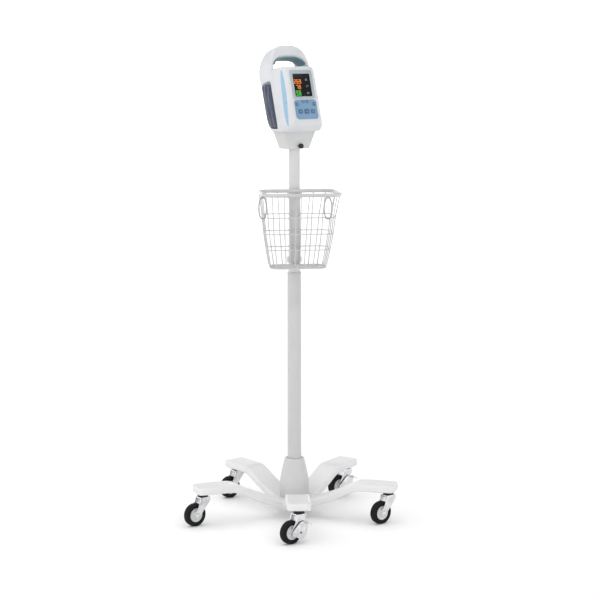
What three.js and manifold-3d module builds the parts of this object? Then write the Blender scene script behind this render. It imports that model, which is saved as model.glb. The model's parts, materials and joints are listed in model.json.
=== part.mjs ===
// A spot-check patient monitor on its roll stand: a leaning monitor head with a carry handle, a cradle that
// swivels on a two-piece column, a wire basket, and a five-leg base on swivel casters, two with brakes.
// Millimetres, +Z up. The origin is on the floor, in the middle of the footprint's bounding box.
import * as THREE from "three";
import { mergeVertices } from "three/addons/utils/BufferGeometryUtils.js";
import Module from "manifold-3d";

const wasm = await Module();
wasm.setup();

// ---------- driving dimensions ----------

const FIT = 0.3; // clearance kept between neighbouring pieces
const COLUMN_AT = [12, 29]; // the column's axis, seen from the middle of the footprint

// base
const LEG_COUNT = 5;
const LEG_TIP = 290; // from the column's axis to a leg's end
const LEG_WIDTH = 65;
const LEG_THICKNESS = 21;
const LEG_UNDERSIDE = 88; // height of the flat outer part's underside
const LEG_CORNER = 11;
const HUB_RADIUS = 47;
const HUB_BOTTOM = 31;
const HUB_TOP = 55;
// the underside of a leg, as distance from the axis and height: low at the hub, rising to a knee, then level
const LEG_LINE = [[0, 31], [48, 32.5], [75, 40], [126, 60], [165, 79], [186, 87], [204, 88], [LEG_TIP, 88]];

// casters
const STEM_AT = 268; // from the column's axis to a caster's swivel axis
const TRAIL = 27; // from the swivel axis back to the axle
const TRAIL_HEADING = -145; // degrees from +X: all five wheels point the same way at rest
const WHEEL_RADIUS = 31.5;
const WHEEL_WIDTH = 20;
const WHEEL_CENTRE_RADIUS = 19;
const AXLE_RADIUS = 4;
const FORK_INSIDE = 12; // half of the gap between the fork's arms
const FORK_PLATE = 2.5;
const FORK_TOP = 79.2;
const STEM_RADIUS = 5;
const STEM_TOP = 105;
const BRAKED = [1, 3]; // the casters that carry a brake lever

// column
const LOWER_RADIUS = 19;
const LOWER_WALL = 1.5;
const COLUMN_FOOT = 36; // the column stands in the hub
const LOWER_TOP = 684;
const UPPER_RADIUS = 16;
const UPPER_WALL = 1.8;
const UPPER_BOTTOM = 560;
const UPPER_TOP = 1045;
const BOOT_TOP = 166;

// basket, in its own frame: x across, y towards the column, z up
const BASKET_TURN = 5; // degrees from the front leg
const RIM_RADIUS = 4.5;
const WIRE_RADIUS = 1.5;
const FLOOR_WIRE_RADIUS = 2.2;
const WIRE_BEND = 4; // where a wire turns from a wall into the floor
const RIM_HEIGHT = 911;
const BASKET_CORNER = 34;
// each level: height, half of the width, back, front
const BASKET_LEVELS = [
  { z: RIM_HEIGHT, half: 103, back: -26, front: -180 },
  { z: 849, half: 95, back: -24.6, front: -150 },
  { z: 804, half: 91, back: -24.3, front: -137 },
  { z: 760, half: 84, back: -24, front: -123 },
  { z: 709, half: 75, back: -23.7, front: -106 },
];
const FRONT_WIRES = [-82, -49, -16.5, 16.5, 49, 82]; // across, at the rim
const SIDE_WIRES = [0.25, 0.5, 0.75]; // share of the way from back to front
const HOOK_WIDTH = 20;
const HOOK_LENGTH = 56;

// head, in its own frame: x across, y back from the screen's face, z up the face
const HEAD_TURN = 32.5; // degrees from the front leg
const HEAD_LEAN = 16; // degrees back from upright
const HEAD_FORWARD = 72.6; // the face's lower edge, in front of the column's axis
const HEAD_BOTTOM = 1075; // height of the face's lower edge, before the level cut under the head
const CRADLE_TOP = 1071.5; // the head is cut level here, and stands on its cradle
const HEAD_HALF = 67;
const FACE_HALF = 45.5;
const PARTING = 38; // depth at which the front housing meets the rear housing
const HEAD_DEPTH = 115;
const DECK = 182; // top of the body, under the handle
const SHELL = 3;
const HANDLE_TOP = 249;
const GRIP = 3; // thickness of the soft strip under the handle
const SCREEN = { half: 28, low: 94, high: 157 };
const FRAME = { half: 36, low: 88.5, high: 167 };
const KEYPAD = { half: 36, low: 32, high: 85.5 };
const BUTTON_STANDS = 1.6; // how far a button stands out of the keypad
const POCKET_FLOOR = -38; // the cuff pocket's inner wall, across
const PORT_AT = [40, 92, 66]; // the cuff hose's port, low on the back
const PORT_RADIUS = 8;
const CUFF_STANDS = 4; // how far the folded cuff stands out of the pocket
const THUMBSCREW_HEIGHT = 1032;
const THUMBSCREW_KNOB = 27; // from the column's axis to the knob

const radians = THREE.MathUtils.degToRad;

// ---------- solids ----------

function solid(geometry) {
  const bare = geometry.index ? geometry.toNonIndexed() : geometry.clone();
  bare.deleteAttribute("normal");
  bare.deleteAttribute("uv");
  const merged = mergeVertices(bare, 1e-4);
  return new wasm.Manifold(
    new wasm.Mesh({
      numProp: 3,
      vertProperties: merged.attributes.position.array,
      triVerts: new Uint32Array(merged.index.array),
    }),
  );
}

function geometryOf(made) {
  const { vertProperties, triVerts, numProp, numVert } = made.getMesh();
  const points = new Float32Array(numVert * 3);
  for (let i = 0; i < numVert; i++) {
    points.set(vertProperties.subarray(i * numProp, i * numProp + 3), i * 3);
  }
  const geometry = new THREE.BufferGeometry();
  geometry.setAttribute("position", new THREE.BufferAttribute(points, 3));
  geometry.setIndex(new THREE.BufferAttribute(new Uint32Array(triVerts), 1));
  geometry.computeVertexNormals();
  return geometry;
}

const join = (first, ...others) => others.reduce((a, b) => a.add(b), first);
const cut = (first, ...others) => others.reduce((a, b) => a.subtract(b), first);

function box(x0, x1, y0, y1, z0, z1) {
  const geometry = new THREE.BoxGeometry(x1 - x0, y1 - y0, z1 - z0);
  return solid(geometry.translate((x0 + x1) / 2, (y0 + y1) / 2, (z0 + z1) / 2));
}

// A solid of revolution about +Z; the profile is [radius, height] pairs. A ring's profile closes on itself.
function turned(profile, segments) {
  const points = profile.map(([r, z]) => new THREE.Vector2(r, z));
  if (profile.every(([r]) => r > 0)) points.push(points[0].clone());
  return solid(new THREE.LatheGeometry(points, segments).rotateX(Math.PI / 2));
}

// A flat shape in the x-z plane, extruded along y from y0 to y1.
function slab(shape, y0, y1, curveSegments = 6) {
  const geometry = new THREE.ExtrudeGeometry(shape, { depth: y1 - y0, bevelEnabled: false, curveSegments });
  return solid(geometry.rotateX(Math.PI / 2).translate(0, y1, 0));
}

// A flat shape given as (y, z), extruded along x from x0 to x1.
function sideSlab(shape, x0, x1, curveSegments = 6) {
  const geometry = new THREE.ExtrudeGeometry(shape, { depth: x1 - x0, bevelEnabled: false, curveSegments });
  const axes = new THREE.Matrix4().makeBasis(
    new THREE.Vector3(0, 1, 0),
    new THREE.Vector3(0, 0, 1),
    new THREE.Vector3(1, 0, 0),
  );
  return solid(geometry.applyMatrix4(axes).translate(x0, 0, 0));
}

// A polygon whose corners are rounded by the given radius.
function roundedPolygon(corners, radius) {
  const points = corners.map(([x, y]) => new THREE.Vector2(x, y));
  const shape = new THREE.Shape();
  points.forEach((corner, i) => {
    const before = points[(i + points.length - 1) % points.length];
    const after = points[(i + 1) % points.length];
    const start = corner.clone().add(before.clone().sub(corner).setLength(radius));
    const end = corner.clone().add(after.clone().sub(corner).setLength(radius));
    if (i === 0) shape.moveTo(start.x, start.y);
    else shape.lineTo(start.x, start.y);
    shape.quadraticCurveTo(corner.x, corner.y, end.x, end.y);
  });
  shape.closePath();
  return shape;
}

const roundedRectangle = (x0, x1, y0, y1, radius) =>
  roundedPolygon([[x0, y0], [x1, y0], [x1, y1], [x0, y1]], radius);

// One ring of a loft: a rounded rectangle's outline, always with the same number of points.
function outline(x0, x1, y0, y1, radius, perCorner = 5) {
  const [left, right, low, high] = [x0 + radius, x1 - radius, y0 + radius, y1 - radius];
  const centres = [[right, low], [right, high], [left, high], [left, low]];
  return centres.flatMap(([cx, cy], corner) =>
    Array.from({ length: perCorner }, (_, i) => {
      const angle = ((corner - 1) * Math.PI) / 2 + (i / (perCorner - 1)) * (Math.PI / 2);
      return [cx + radius * Math.cos(angle), cy + radius * Math.sin(angle)];
    }),
  );
}

// A closed skin through rings of 3-D points; each end is closed by a fan about its middle.
function loft(rings) {
  const count = rings[0].length;
  const middle = (ring) => ring.reduce((sum, p) => sum.map((v, k) => v + p[k] / count), [0, 0, 0]);
  const points = [...rings.flat(), middle(rings[0]), middle(rings.at(-1))];
  const index = [];
  rings.slice(1).forEach((_, level) => {
    for (let i = 0; i < count; i++) {
      const a = level * count + i;
      const b = level * count + ((i + 1) % count);
      index.push(a, b, b + count, a, b + count, a + count);
    }
  });
  const last = (rings.length - 1) * count;
  for (let i = 0; i < count; i++) {
    const next = (i + 1) % count;
    index.push(next, i, points.length - 2, last + i, last + next, points.length - 1);
  }
  const geometry = new THREE.BufferGeometry();
  geometry.setAttribute("position", new THREE.Float32BufferAttribute(points.flat(), 3));
  geometry.setIndex(index);
  const made = solid(geometry);
  if (made.volume() > 0) return made;
  geometry.setIndex(index.toReversed());
  return solid(geometry);
}

// A round wire along a curve, as a loft of polygons square to it. A closed curve gives a ring.
function wire(curve, radius, sides, steps, closed = false) {
  const frames = curve.computeFrenetFrames(steps, closed);
  const rings = Array.from({ length: steps + 1 }, (_, i) => {
    const at = curve.getPointAt(i / steps);
    return Array.from({ length: sides }, (_, k) => {
      const angle = (k / sides) * 2 * Math.PI;
      const point = at
        .clone()
        .addScaledVector(frames.normals[i], radius * Math.cos(angle))
        .addScaledVector(frames.binormals[i], radius * Math.sin(angle));
      return point.toArray();
    });
  });
  if (!closed) return loft(rings);
  const half = steps / 2;
  return join(loft(rings.slice(0, half + 1)), loft(rings.slice(half)));
}

// ---------- materials ----------

const finish = (color, roughness, metalness = 0) =>
  new THREE.MeshStandardMaterial({ color, roughness, metalness });

const WHITE = finish(0xf0f0ee, 0.45);
const SHADE = finish(0xdcdcda, 0.5);
const POWDER = finish(0xe4e4e2, 0.5);
const CHROME = finish(0xd8d8d8, 0.15, 1);
const DARK = finish(0x2a2a2c, 0.6);
const RUBBER = finish(0x161616, 0.7);
const BLUE = finish(0x8fb8dc, 0.4);
const TEAL = finish(0x6f8f9a, 0.5);
const KEYS = finish(0x5f95bd, 0.45);
const BUTTON = finish(0x3f6f93, 0.4);
const SLATE = finish(0x3c414f, 0.85);
const GLASS = finish(0x060708, 0.12);
const BOARD = finish(0x1f5b3a, 0.5);

// ---------- scene ----------

const product = new THREE.Group();
product.position.set(...COLUMN_AT, 0);

function add(parent, name, made, material) {
  const mesh = new THREE.Mesh(geometryOf(made), material);
  mesh.name = name;
  parent.add(mesh);
  return mesh;
}

// ---------- base ----------

// A leg lies along +X here, and is turned into place.
function leg() {
  const under = LEG_LINE.map(([r, z]) => new THREE.Vector2(r, z));
  const over = LEG_LINE.toReversed().map(([r, z]) => new THREE.Vector2(r, z + LEG_THICKNESS));
  const side = slab(new THREE.Shape([...under, ...over]), -LEG_WIDTH / 2, LEG_WIDTH / 2);
  const plan = roundedRectangle(-LEG_WIDTH, LEG_TIP, -LEG_WIDTH / 2, LEG_WIDTH / 2, LEG_CORNER);
  const tall = { depth: LEG_UNDERSIDE + 40, bevelEnabled: false, curveSegments: 3 };
  const [bore, low, high] = [STEM_RADIUS + FIT, LEG_UNDERSIDE - 5, STEM_TOP + 1];
  const socket = turned([[0, low], [bore, low], [bore, high], [0, high]], 12);
  return cut(side.intersect(solid(new THREE.ExtrudeGeometry(plan, tall))), socket.translate([STEM_AT, 0, 0]));
}

const legAngle = (i) => -90 + (i * 360) / LEG_COUNT;

function baseCasting() {
  const oneLeg = leg();
  const legs = Array.from({ length: LEG_COUNT }, (_, i) => oneLeg.rotate([0, 0, legAngle(i)]));
  const hub = turned([[0, HUB_BOTTOM], [HUB_RADIUS, HUB_BOTTOM], [HUB_RADIUS, HUB_TOP], [0, HUB_TOP]], 28);
  const floor = COLUMN_FOOT - FIT;
  const bore = LOWER_RADIUS + FIT;
  const above = HUB_TOP + 30;
  const socket = turned([[0, floor], [bore, floor], [bore, above], [0, above]], 24);
  const bootSeat = turned([[0, HUB_TOP], [44, HUB_TOP], [44, above], [0, above]], 28);
  return cut(join(hub, ...legs), socket, bootSeat);
}

add(product, "base_casting", baseCasting(), POWDER);

// ---------- casters ----------

const stemProfile = [
  [0, 70.5],
  [7, 70.5],
  [7, 72.6],
  [STEM_RADIUS, 72.6],
  [STEM_RADIUS, FORK_TOP + 0.4],
  [15, FORK_TOP + 0.4],
  [15, LEG_UNDERSIDE - FIT],
  [STEM_RADIUS, LEG_UNDERSIDE - FIT],
  [STEM_RADIUS, STEM_TOP],
  [0, STEM_TOP],
];

function fork() {
  const armOutline = new THREE.Shape();
  armOutline.moveTo(-15, FORK_TOP);
  armOutline.lineTo(-15, 69);
  armOutline.lineTo(TRAIL - 9.5, WHEEL_RADIUS - 4);
  armOutline.absarc(TRAIL, WHEEL_RADIUS, 9, radians(205), radians(20), false);
  armOutline.lineTo(17, 68);
  armOutline.lineTo(15, FORK_TOP);
  const outside = FORK_INSIDE + FORK_PLATE;
  const arms = [slab(armOutline, -outside, -FORK_INSIDE, 5), slab(armOutline, FORK_INSIDE, outside, 5)];
  const crown = box(-15, 15, -outside, outside, 73.2, FORK_TOP);
  const stemHole = turned([[0, 60], [STEM_RADIUS + FIT, 60], [STEM_RADIUS + FIT, 90], [0, 90]], 12);
  const axleHole = onAxle([[0, -40], [AXLE_RADIUS + FIT, -40], [AXLE_RADIUS + FIT, 40], [0, 40]], 12);
  return cut(join(crown, ...arms), stemHole, axleHole);
}

// A profile turned about the axle.
const onAxle = (profile, segments) =>
  turned(profile, segments).rotate([90, 0, 0]).translate([TRAIL, 0, WHEEL_RADIUS]);

const headFrom = FORK_INSIDE + FORK_PLATE + FIT;
const axleProfile = [
  [0, -headFrom - 2.5],
  [6.5, -headFrom - 2.5],
  [6.5, -headFrom],
  [AXLE_RADIUS, -headFrom],
  [AXLE_RADIUS, headFrom],
  [6.5, headFrom],
  [6.5, headFrom + 2.5],
  [0, headFrom + 2.5],
];
const hubProfile = [
  [AXLE_RADIUS + FIT, -11],
  [8, -11],
  [9, -7],
  [WHEEL_CENTRE_RADIUS, -9],
  [WHEEL_CENTRE_RADIUS, 9],
  [9, 7],
  [8, 11],
  [AXLE_RADIUS + FIT, 11],
];
const treadHalf = WHEEL_WIDTH / 2;
const tyreProfile = [
  [WHEEL_CENTRE_RADIUS + FIT, -8.5],
  [28.5, -treadHalf],
  [WHEEL_RADIUS, -5],
  [WHEEL_RADIUS, 5],
  [28.5, treadHalf],
  [WHEEL_CENTRE_RADIUS + FIT, 8.5],
];

// A shield beside the wheel that turns about the axle, with a foot tab at its upper leading corner.
function brakeLever() {
  const inner = headFrom + 2.5 + FIT;
  const plate = new THREE.Shape();
  plate.moveTo(8, 60);
  plate.lineTo(-10, 60);
  plate.quadraticCurveTo(-17, 60, -17, 55);
  plate.lineTo(-12, 30);
  plate.quadraticCurveTo(-8, 12, 8, 12);
  plate.absarc(TRAIL, WHEEL_RADIUS, 9, radians(-100), radians(70), false);
  plate.closePath();
  const rivetHole = new THREE.Path();
  rivetHole.absarc(8, WHEEL_RADIUS, 2.6, 0, 2 * Math.PI, true);
  plate.holes.push(rivetHole);
  const shield = slab(plate, inner, inner + 2.2, 6);
  const tab = slab(roundedPolygon([[-19, 51], [-3, 60], [-4.5, 62.5], [-20.5, 53.5]], 1), inner, inner + 17);
  return join(shield, tab);
}

for (let i = 0; i < LEG_COUNT; i++) {
  const name = `caster_${i + 1}`;
  const angle = radians(legAngle(i));
  const caster = new THREE.Group();
  caster.position.set(STEM_AT * Math.cos(angle), STEM_AT * Math.sin(angle), 0);
  caster.rotation.z = radians(TRAIL_HEADING);
  product.add(caster);
  add(caster, `${name}_stem`, turned(stemProfile, 10), DARK);
  add(caster, `${name}_fork`, fork(), CHROME);
  add(caster, `${name}_axle`, onAxle(axleProfile, 10), CHROME);
  add(caster, `${name}_wheel_hub`, onAxle(hubProfile, 12), SHADE);
  add(caster, `${name}_tyre`, onAxle(tyreProfile, 20), RUBBER);
  if (BRAKED.includes(i + 1)) add(caster, `${name}_brake_lever`, brakeLever(), CHROME);
}

// ---------- column ----------

function tube(radius, wall, bottom, top) {
  return turned([[radius - wall, bottom], [radius, bottom], [radius, top], [radius - wall, top]], 24);
}

// the boot's outer radius at each height, from the hub to its narrow mouth
const BOOT_LINE = [[41, 56], [41, 84], [39.2, 108], [37, 122], [34.4, 136], [31.2, 150], [27, BOOT_TOP]];

function boot() {
  const wall = 2.5;
  const outer = BOOT_LINE.map(([r, z]) => [r, z + FIT - 1]);
  const inner = outer.slice(0, -1).map(([r, z]) => [r - wall, z]).toReversed();
  const bore = LOWER_RADIUS + FIT;
  const mouth = [[bore, BOOT_TOP - 0.7], [bore, BOOT_TOP - 4], [24, BOOT_TOP - 6]];
  return turned([...outer, ...mouth, ...inner], 22);
}

function sleeve() {
  const outside = LOWER_RADIUS - LOWER_WALL - FIT;
  const inside = UPPER_RADIUS + FIT;
  const seat = LOWER_TOP + FIT;
  const bush = [[inside, seat - 26], [outside, seat - 26], [outside, seat]];
  const flange = [[LOWER_RADIUS, seat], [LOWER_RADIUS, seat + 2], [inside, seat + 3]];
  return turned([...bush, ...flange], 24);
}

add(product, "column_boot", boot(), POWDER);
add(product, "column_lower_tube", tube(LOWER_RADIUS, LOWER_WALL, COLUMN_FOOT, LOWER_TOP), POWDER);
add(product, "column_sleeve", sleeve(), SHADE);
add(product, "column_upper_tube", tube(UPPER_RADIUS, UPPER_WALL, UPPER_BOTTOM, UPPER_TOP), POWDER);

// ---------- basket ----------

const basket = new THREE.Group();
basket.rotation.z = radians(BASKET_TURN);
product.add(basket);

// The rounded-rectangle ring at one level, as a closed curve.
function basketRing({ z, half, back, front }, corner) {
  const path = new THREE.CurvePath();
  const corners = [[half, front], [half, back], [-half, back], [-half, front]];
  const turns = corners.map(([x, y], i) => {
    const at = new THREE.Vector3(x, y, z);
    const towards = ([px, py]) => at.clone().add(new THREE.Vector3(px - x, py - y, 0).setLength(corner));
    return { start: towards(corners[(i + 3) % 4]), at, end: towards(corners[(i + 1) % 4]) };
  });
  turns.forEach((turn, i) => {
    path.add(new THREE.QuadraticBezierCurve3(turn.start, turn.at, turn.end));
    path.add(new THREE.LineCurve3(turn.end, turns[(i + 1) % 4].start));
  });
  return path;
}

// A CurvePath's own points, spread evenly, so that it can be swept as one smooth curve.
function evenly(path, count) {
  const points = path.getSpacedPoints(count).slice(0, count);
  return new THREE.CatmullRomCurve3(points, true, "centripetal");
}

const [RIM_LEVEL, ...RING_LEVELS] = BASKET_LEVELS;
const FLOOR_LEVEL = BASKET_LEVELS.at(-1);
const WIRE_TOP = RIM_HEIGHT - RIM_RADIUS - WIRE_RADIUS - FIT;

function basketRim() {
  return wire(evenly(basketRing(RIM_LEVEL, BASKET_CORNER), 32), RIM_RADIUS, 8, 32, true);
}

// A thin wire with a corner at each point; across is square to the plane that it bends in.
function bentWire(points, radius, across) {
  const rings = points.map((at, i) => {
    const before = points[Math.max(i - 1, 0)];
    const after = points[Math.min(i + 1, points.length - 1)];
    const along = after.clone().sub(before).normalize();
    const upward = across.clone().cross(along);
    return [across, upward, across.clone().negate(), upward.clone().negate()].map((offset) =>
      at.clone().addScaledVector(offset, radius).toArray(),
    );
  });
  return loft(rings);
}

// A wire that comes down one wall, bends, crosses the floor and goes up the wall opposite.
function crossWire(wallPoint, across) {
  const wall = (side) => BASKET_LEVELS.map((level) => new THREE.Vector3(...wallPoint(level, side)));
  const [near, far] = [wall(1), wall(-1)];
  const bend = WIRE_BEND / near.at(-1).distanceTo(far.at(-1));
  const half = (points, to) => {
    const foot = points.at(-1);
    const top = points[0].clone().setZ(WIRE_TOP);
    return [top, ...points.slice(1, -1), foot.clone().setZ(foot.z + WIRE_BEND), foot.clone().lerp(to, bend)];
  };
  return bentWire([...half(near, far.at(-1)), ...half(far, near.at(-1)).toReversed()], WIRE_RADIUS, across);
}

function basketWires() {
  const rings = RING_LEVELS.map((level) => {
    const radius = level === FLOOR_LEVEL ? FLOOR_WIRE_RADIUS : WIRE_RADIUS;
    return wire(evenly(basketRing(level, BASKET_CORNER * 0.75), 20), radius, 4, 20, true);
  });
  const frontToBack = FRONT_WIRES.map((x) =>
    crossWire(
      ({ z, half, back, front }, side) => [(x * half) / RIM_LEVEL.half, side > 0 ? front : back, z],
      new THREE.Vector3(1, 0, 0),
    ),
  );
  const sideToSide = SIDE_WIRES.map((share) =>
    crossWire(
      ({ z, half, back, front }, side) => [side * half, back + share * (front - back), z],
      new THREE.Vector3(0, 1, 0),
    ),
  );
  return join(...rings, ...frontToBack, ...sideToSide);
}

function basketBracket() {
  const barFront = -(UPPER_RADIUS + FIT + 3);
  const bar = box(-13, 13, barFront, -(UPPER_RADIUS + FIT), FLOOR_LEVEL.z, RIM_HEIGHT + 6);
  const inside = UPPER_RADIUS + FIT;
  const collar = (z) => turned([[inside, z], [inside + 4, z], [inside + 4, z + 14], [inside, z + 14]], 24);
  const room = box(-40, 40, -40, barFront, 600, 1000);
  return cut(join(bar, collar(RIM_HEIGHT - 22), collar(FLOOR_LEVEL.z + 5)), room);
}

function hoseHook(x, y) {
  const middle = WIRE_TOP - HOOK_LENGTH / 2;
  const curve = new THREE.CatmullRomCurve3(
    Array.from({ length: 12 }, (_, i) => {
      const angle = (i / 12) * 2 * Math.PI;
      const across = (HOOK_WIDTH / 2) * Math.sin(angle);
      return new THREE.Vector3(x + across, y, middle + (HOOK_LENGTH / 2) * Math.cos(angle));
    }),
    true,
  );
  return wire(curve, WIRE_RADIUS, 5, 16, true);
}

add(basket, "basket_rim", basketRim(), WHITE);
add(basket, "basket_wires", basketWires(), WHITE);
add(basket, "basket_bracket", basketBracket(), POWDER);
add(basket, "hose_hook_left", hoseHook(-104, -152), CHROME);
add(basket, "hose_hook_right", hoseHook(66, -180), CHROME);

// ---------- head ----------

const headTurn = new THREE.Group();
headTurn.rotation.z = radians(HEAD_TURN);
product.add(headTurn);
const head = new THREE.Group();
head.position.set(0, -HEAD_FORWARD, HEAD_BOTTOM);
head.rotation.x = radians(-HEAD_LEAN);
headTurn.add(head);

// A ring of the head's outside at one depth, shrunk by inset.
function headRing(y, half, low, high, radius, inset = 0) {
  const ring = outline(-half + inset, half - inset, low + inset, high - inset, radius - inset * 0.5);
  return ring.map(([x, z]) => [x, y, z]);
}

function frontBlock(inset, y0) {
  const rings = [
    headRing(y0, FACE_HALF, 16, DECK - 7, 12, inset),
    headRing(y0 + 2, FACE_HALF + 2.6, 13, DECK - 3.5, 13, inset),
    headRing(18, 60.5, 3.5, DECK - 1, 15, inset),
    headRing(PARTING - (inset ? -2 : FIT / 2), HEAD_HALF, 0, DECK, 16, inset),
  ];
  return loft(rings);
}

function rearBlock(inset, y0) {
  const rings = [
    headRing(y0, HEAD_HALF, 0, DECK, 16, inset),
    headRing(66, HEAD_HALF, 0, DECK + 2, 16, inset),
    headRing(82, HEAD_HALF - 0.5, 5, DECK + 4, 18, inset),
    headRing(96 - inset * 0.3, HEAD_HALF - 2.5, 19, DECK + 5, 20, inset),
    headRing(105 - inset * 0.6, HEAD_HALF - 6, 48, DECK + 3, 24, inset),
    headRing(HEAD_DEPTH - 3 - inset * 0.9, HEAD_HALF - 14, 92, DECK - 8, 26, inset),
    headRing(HEAD_DEPTH - inset, HEAD_HALF - 24, 118, DECK - 22, 18, inset),
  ];
  return loft(rings);
}

// Half of the handle's outline from the deck to its crown: a stretched circle, squarer than an ellipse.
function archShape(half, low, high, power) {
  const steps = 18;
  const points = Array.from({ length: steps + 1 }, (_, i) => {
    const angle = (i / steps) * Math.PI;
    const reach = (value) => Math.sign(value) * Math.abs(value) ** (2 / power);
    return new THREE.Vector2(half * reach(Math.cos(angle)), low + (high - low) * reach(Math.sin(angle)));
  });
  return points;
}

const archOuter = archShape(HEAD_HALF, DECK - 2, HANDLE_TOP, 2.5);
const openingPoints = archShape(59, DECK + 12, HANDLE_TOP - 34, 2.6);
const openingShape = new THREE.Shape([
  ...openingPoints,
  new THREE.Vector2(-59, DECK + 3),
  new THREE.Vector2(-53, DECK - 1),
  new THREE.Vector2(53, DECK - 1),
  new THREE.Vector2(59, DECK + 3),
]);

// The handle seen from the side: its back edge sweeps forward towards the top.
const handleSide = new THREE.Shape([
  [PARTING + FIT, DECK - 10],
  [105, DECK - 10],
  [104, DECK + 6],
  [97, DECK + 22],
  [87, DECK + 38],
  [78, DECK + 52],
  [69, HANDLE_TOP],
  [PARTING + 10, HANDLE_TOP + 1],
  [PARTING + 2.5, HANDLE_TOP - 4],
  [PARTING + FIT, HANDLE_TOP - 12],
].map(([y, z]) => new THREE.Vector2(y, z)));

// The cuff pocket and the cuff, seen from the side as (y, z).
const pocketSide = (inset) =>
  roundedPolygon(
    [
      [50 + inset, 18 + inset],
      [84 - inset, 28 + inset],
      [91 - inset, 62],
      [91 - inset, 152 - inset],
      [50 + inset, 152 - inset],
    ],
    9 - inset,
  );

function rearHousing() {
  const arch = slab(new THREE.Shape(archOuter), PARTING + FIT, HEAD_DEPTH);
  const handle = arch.intersect(sideSlab(handleSide, -90, 90));
  const opening = slab(openingShape, 0, 140);
  const outside = join(rearBlock(0, PARTING + FIT / 2), cut(handle, opening));
  const pocketWall = box(-HEAD_HALF - 5, POCKET_FLOOR + SHELL, 46, 94, 0, 155);
  const hollow = cut(rearBlock(SHELL, PARTING - 4), pocketWall);
  const pocket = sideSlab(pocketSide(0), -HEAD_HALF - 10, POCKET_FLOOR);
  const bore = PORT_RADIUS + FIT;
  const rod = turned([[0, -10], [bore, -10], [bore, 30], [0, 30]], 16);
  const portHole = rod.rotate([-90, 0, 0]).translate(PORT_AT);
  return cut(outside, cut(hollow, floorUnder()), pocket, batteryWindow(0), portHole, underCut());
}

const batteryWindow = (inset) => box(-30 + inset, 22 - inset, 84, 130, 84 + inset, 150 - inset);

function batteryDoor() {
  return rearBlock(0, PARTING).subtract(rearBlock(SHELL - FIT, PARTING - 4)).intersect(batteryWindow(FIT));
}

// Everything below the level cut under the head, in the head's own leaning frame.
const underCut = () =>
  box(-100, 100, -60, 200, -90, CRADLE_TOP - HEAD_BOTTOM).rotate([HEAD_LEAN, 0, 0]);

// The same, raised by the shell's thickness, so that the housings keep a floor.
const floorUnder = () => underCut().translate([0, 0, SHELL + 0.5]);

function frontHousing() {
  const inside = frontBlock(SHELL, SHELL);
  const windows = join(slab(windowShape(FRAME, -FIT, 6), -5, 12), slab(keypadShape(-FIT), -5, 12));
  return cut(frontBlock(0, 0), cut(inside, floorUnder()), windows, trimPocket(1), trimPocket(-1), underCut());
}

// The lens-shaped inlay in the slanted side of the front housing, seen from the side as (y, z).
function trimShape(inset) {
  const shape = new THREE.Shape();
  shape.moveTo(11.5, DECK - 9 - inset);
  shape.quadraticCurveTo(7.5 + inset, 130, 8.5 + inset, 80);
  shape.quadraticCurveTo(10 + inset, 35, 15, 13 + inset);
  shape.quadraticCurveTo(21 - inset, 35, 18 - inset, 80);
  shape.quadraticCurveTo(16 - inset, 150, 11.5, DECK - 9 - inset);
  shape.closePath();
  return shape;
}

const TRIM_DEPTH = 1.6;

// The layer of the front block between its skin and a little below it, on one side.
function trimLayer(side, inset, depth) {
  const reach = sideSlab(trimShape(inset), 0, HEAD_HALF + 5, 8);
  const prism = side > 0 ? reach : reach.mirror([1, 0, 0]);
  return prism.intersect(cut(frontBlock(0, 0), frontBlock(depth, depth)));
}

const trimPocket = (side) => {
  const reach = sideSlab(trimShape(0), 0, HEAD_HALF + 5, 8);
  const prism = side > 0 ? reach : reach.mirror([1, 0, 0]);
  return cut(prism, frontBlock(TRIM_DEPTH + FIT, TRIM_DEPTH + FIT));
};

function handleGrip() {
  const under = new THREE.Shape([...archShape(59 - FIT, DECK + 12, HANDLE_TOP - 34 - FIT, 2.6)]);
  const inner = new THREE.Shape([...archShape(59 - GRIP, DECK + 5, HANDLE_TOP - 34 - GRIP, 2.6)]);
  const strip = cut(slab(under, PARTING + 2, 75), slab(inner, 0, 120));
  return strip.intersect(box(-80, 80, 0, 120, DECK + 14, 260));
}

// A rounded window in the face, drawn in by inset.
function windowShape({ half, low, high }, inset, radius) {
  return roundedRectangle(-half + inset, half - inset, low + inset, high - inset, radius);
}

const keypadShape = (inset) => windowShape(KEYPAD, inset, 9);

// Each button: where its middle is on the face, and half of its width and height.
const BUTTONS = [
  { name: "button_up", x: 7, z: 80, half: 5, tall: 3.6 },
  { name: "button_down", x: -7, z: 80, half: 5, tall: 3.6 },
  { name: "button_power", x: -28, z: 73, half: 5, tall: 5 },
  { name: "button_alarm_silence", x: 28, z: 73, half: 5, tall: 5 },
  { name: "button_mode", x: -20, z: 53, half: 7, tall: 6 },
  { name: "button_start", x: 0, z: 53, half: 8, tall: 7 },
  { name: "button_memory", x: 20, z: 53, half: 7, tall: 6 },
];

const buttonShape = ({ x, z, half, tall }, grow) =>
  roundedRectangle(x - half - grow, x + half + grow, z - tall - grow, z + tall + grow, 3.2);

function keypadPanel() {
  const holes = BUTTONS.map((button) => slab(buttonShape(button, FIT), -5, 12, 2));
  return cut(slab(keypadShape(0), -0.6, 3.4), ...holes);
}

// A button's cap passes through the keypad; its flange stays behind it.
function button(place) {
  const cap = slab(buttonShape(place, 0), -0.6 - BUTTON_STANDS, 5, 2);
  const flange = slab(buttonShape(place, 1.2), 4.7, 5.9, 2);
  return join(cap, flange);
}

function displayFrame() {
  return cut(slab(windowShape(FRAME, 0, 6), -0.8, 3.4), slab(windowShape(SCREEN, 0, 2.5), -5, 12));
}

function lcdPanel() {
  const { half, low, high } = SCREEN;
  const glass = slab(windowShape(SCREEN, FIT, 2.2), 0.6, 5);
  return join(glass, box(-half - 4, half + 4, 3.8, 9, low - 4, high + 4));
}

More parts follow.
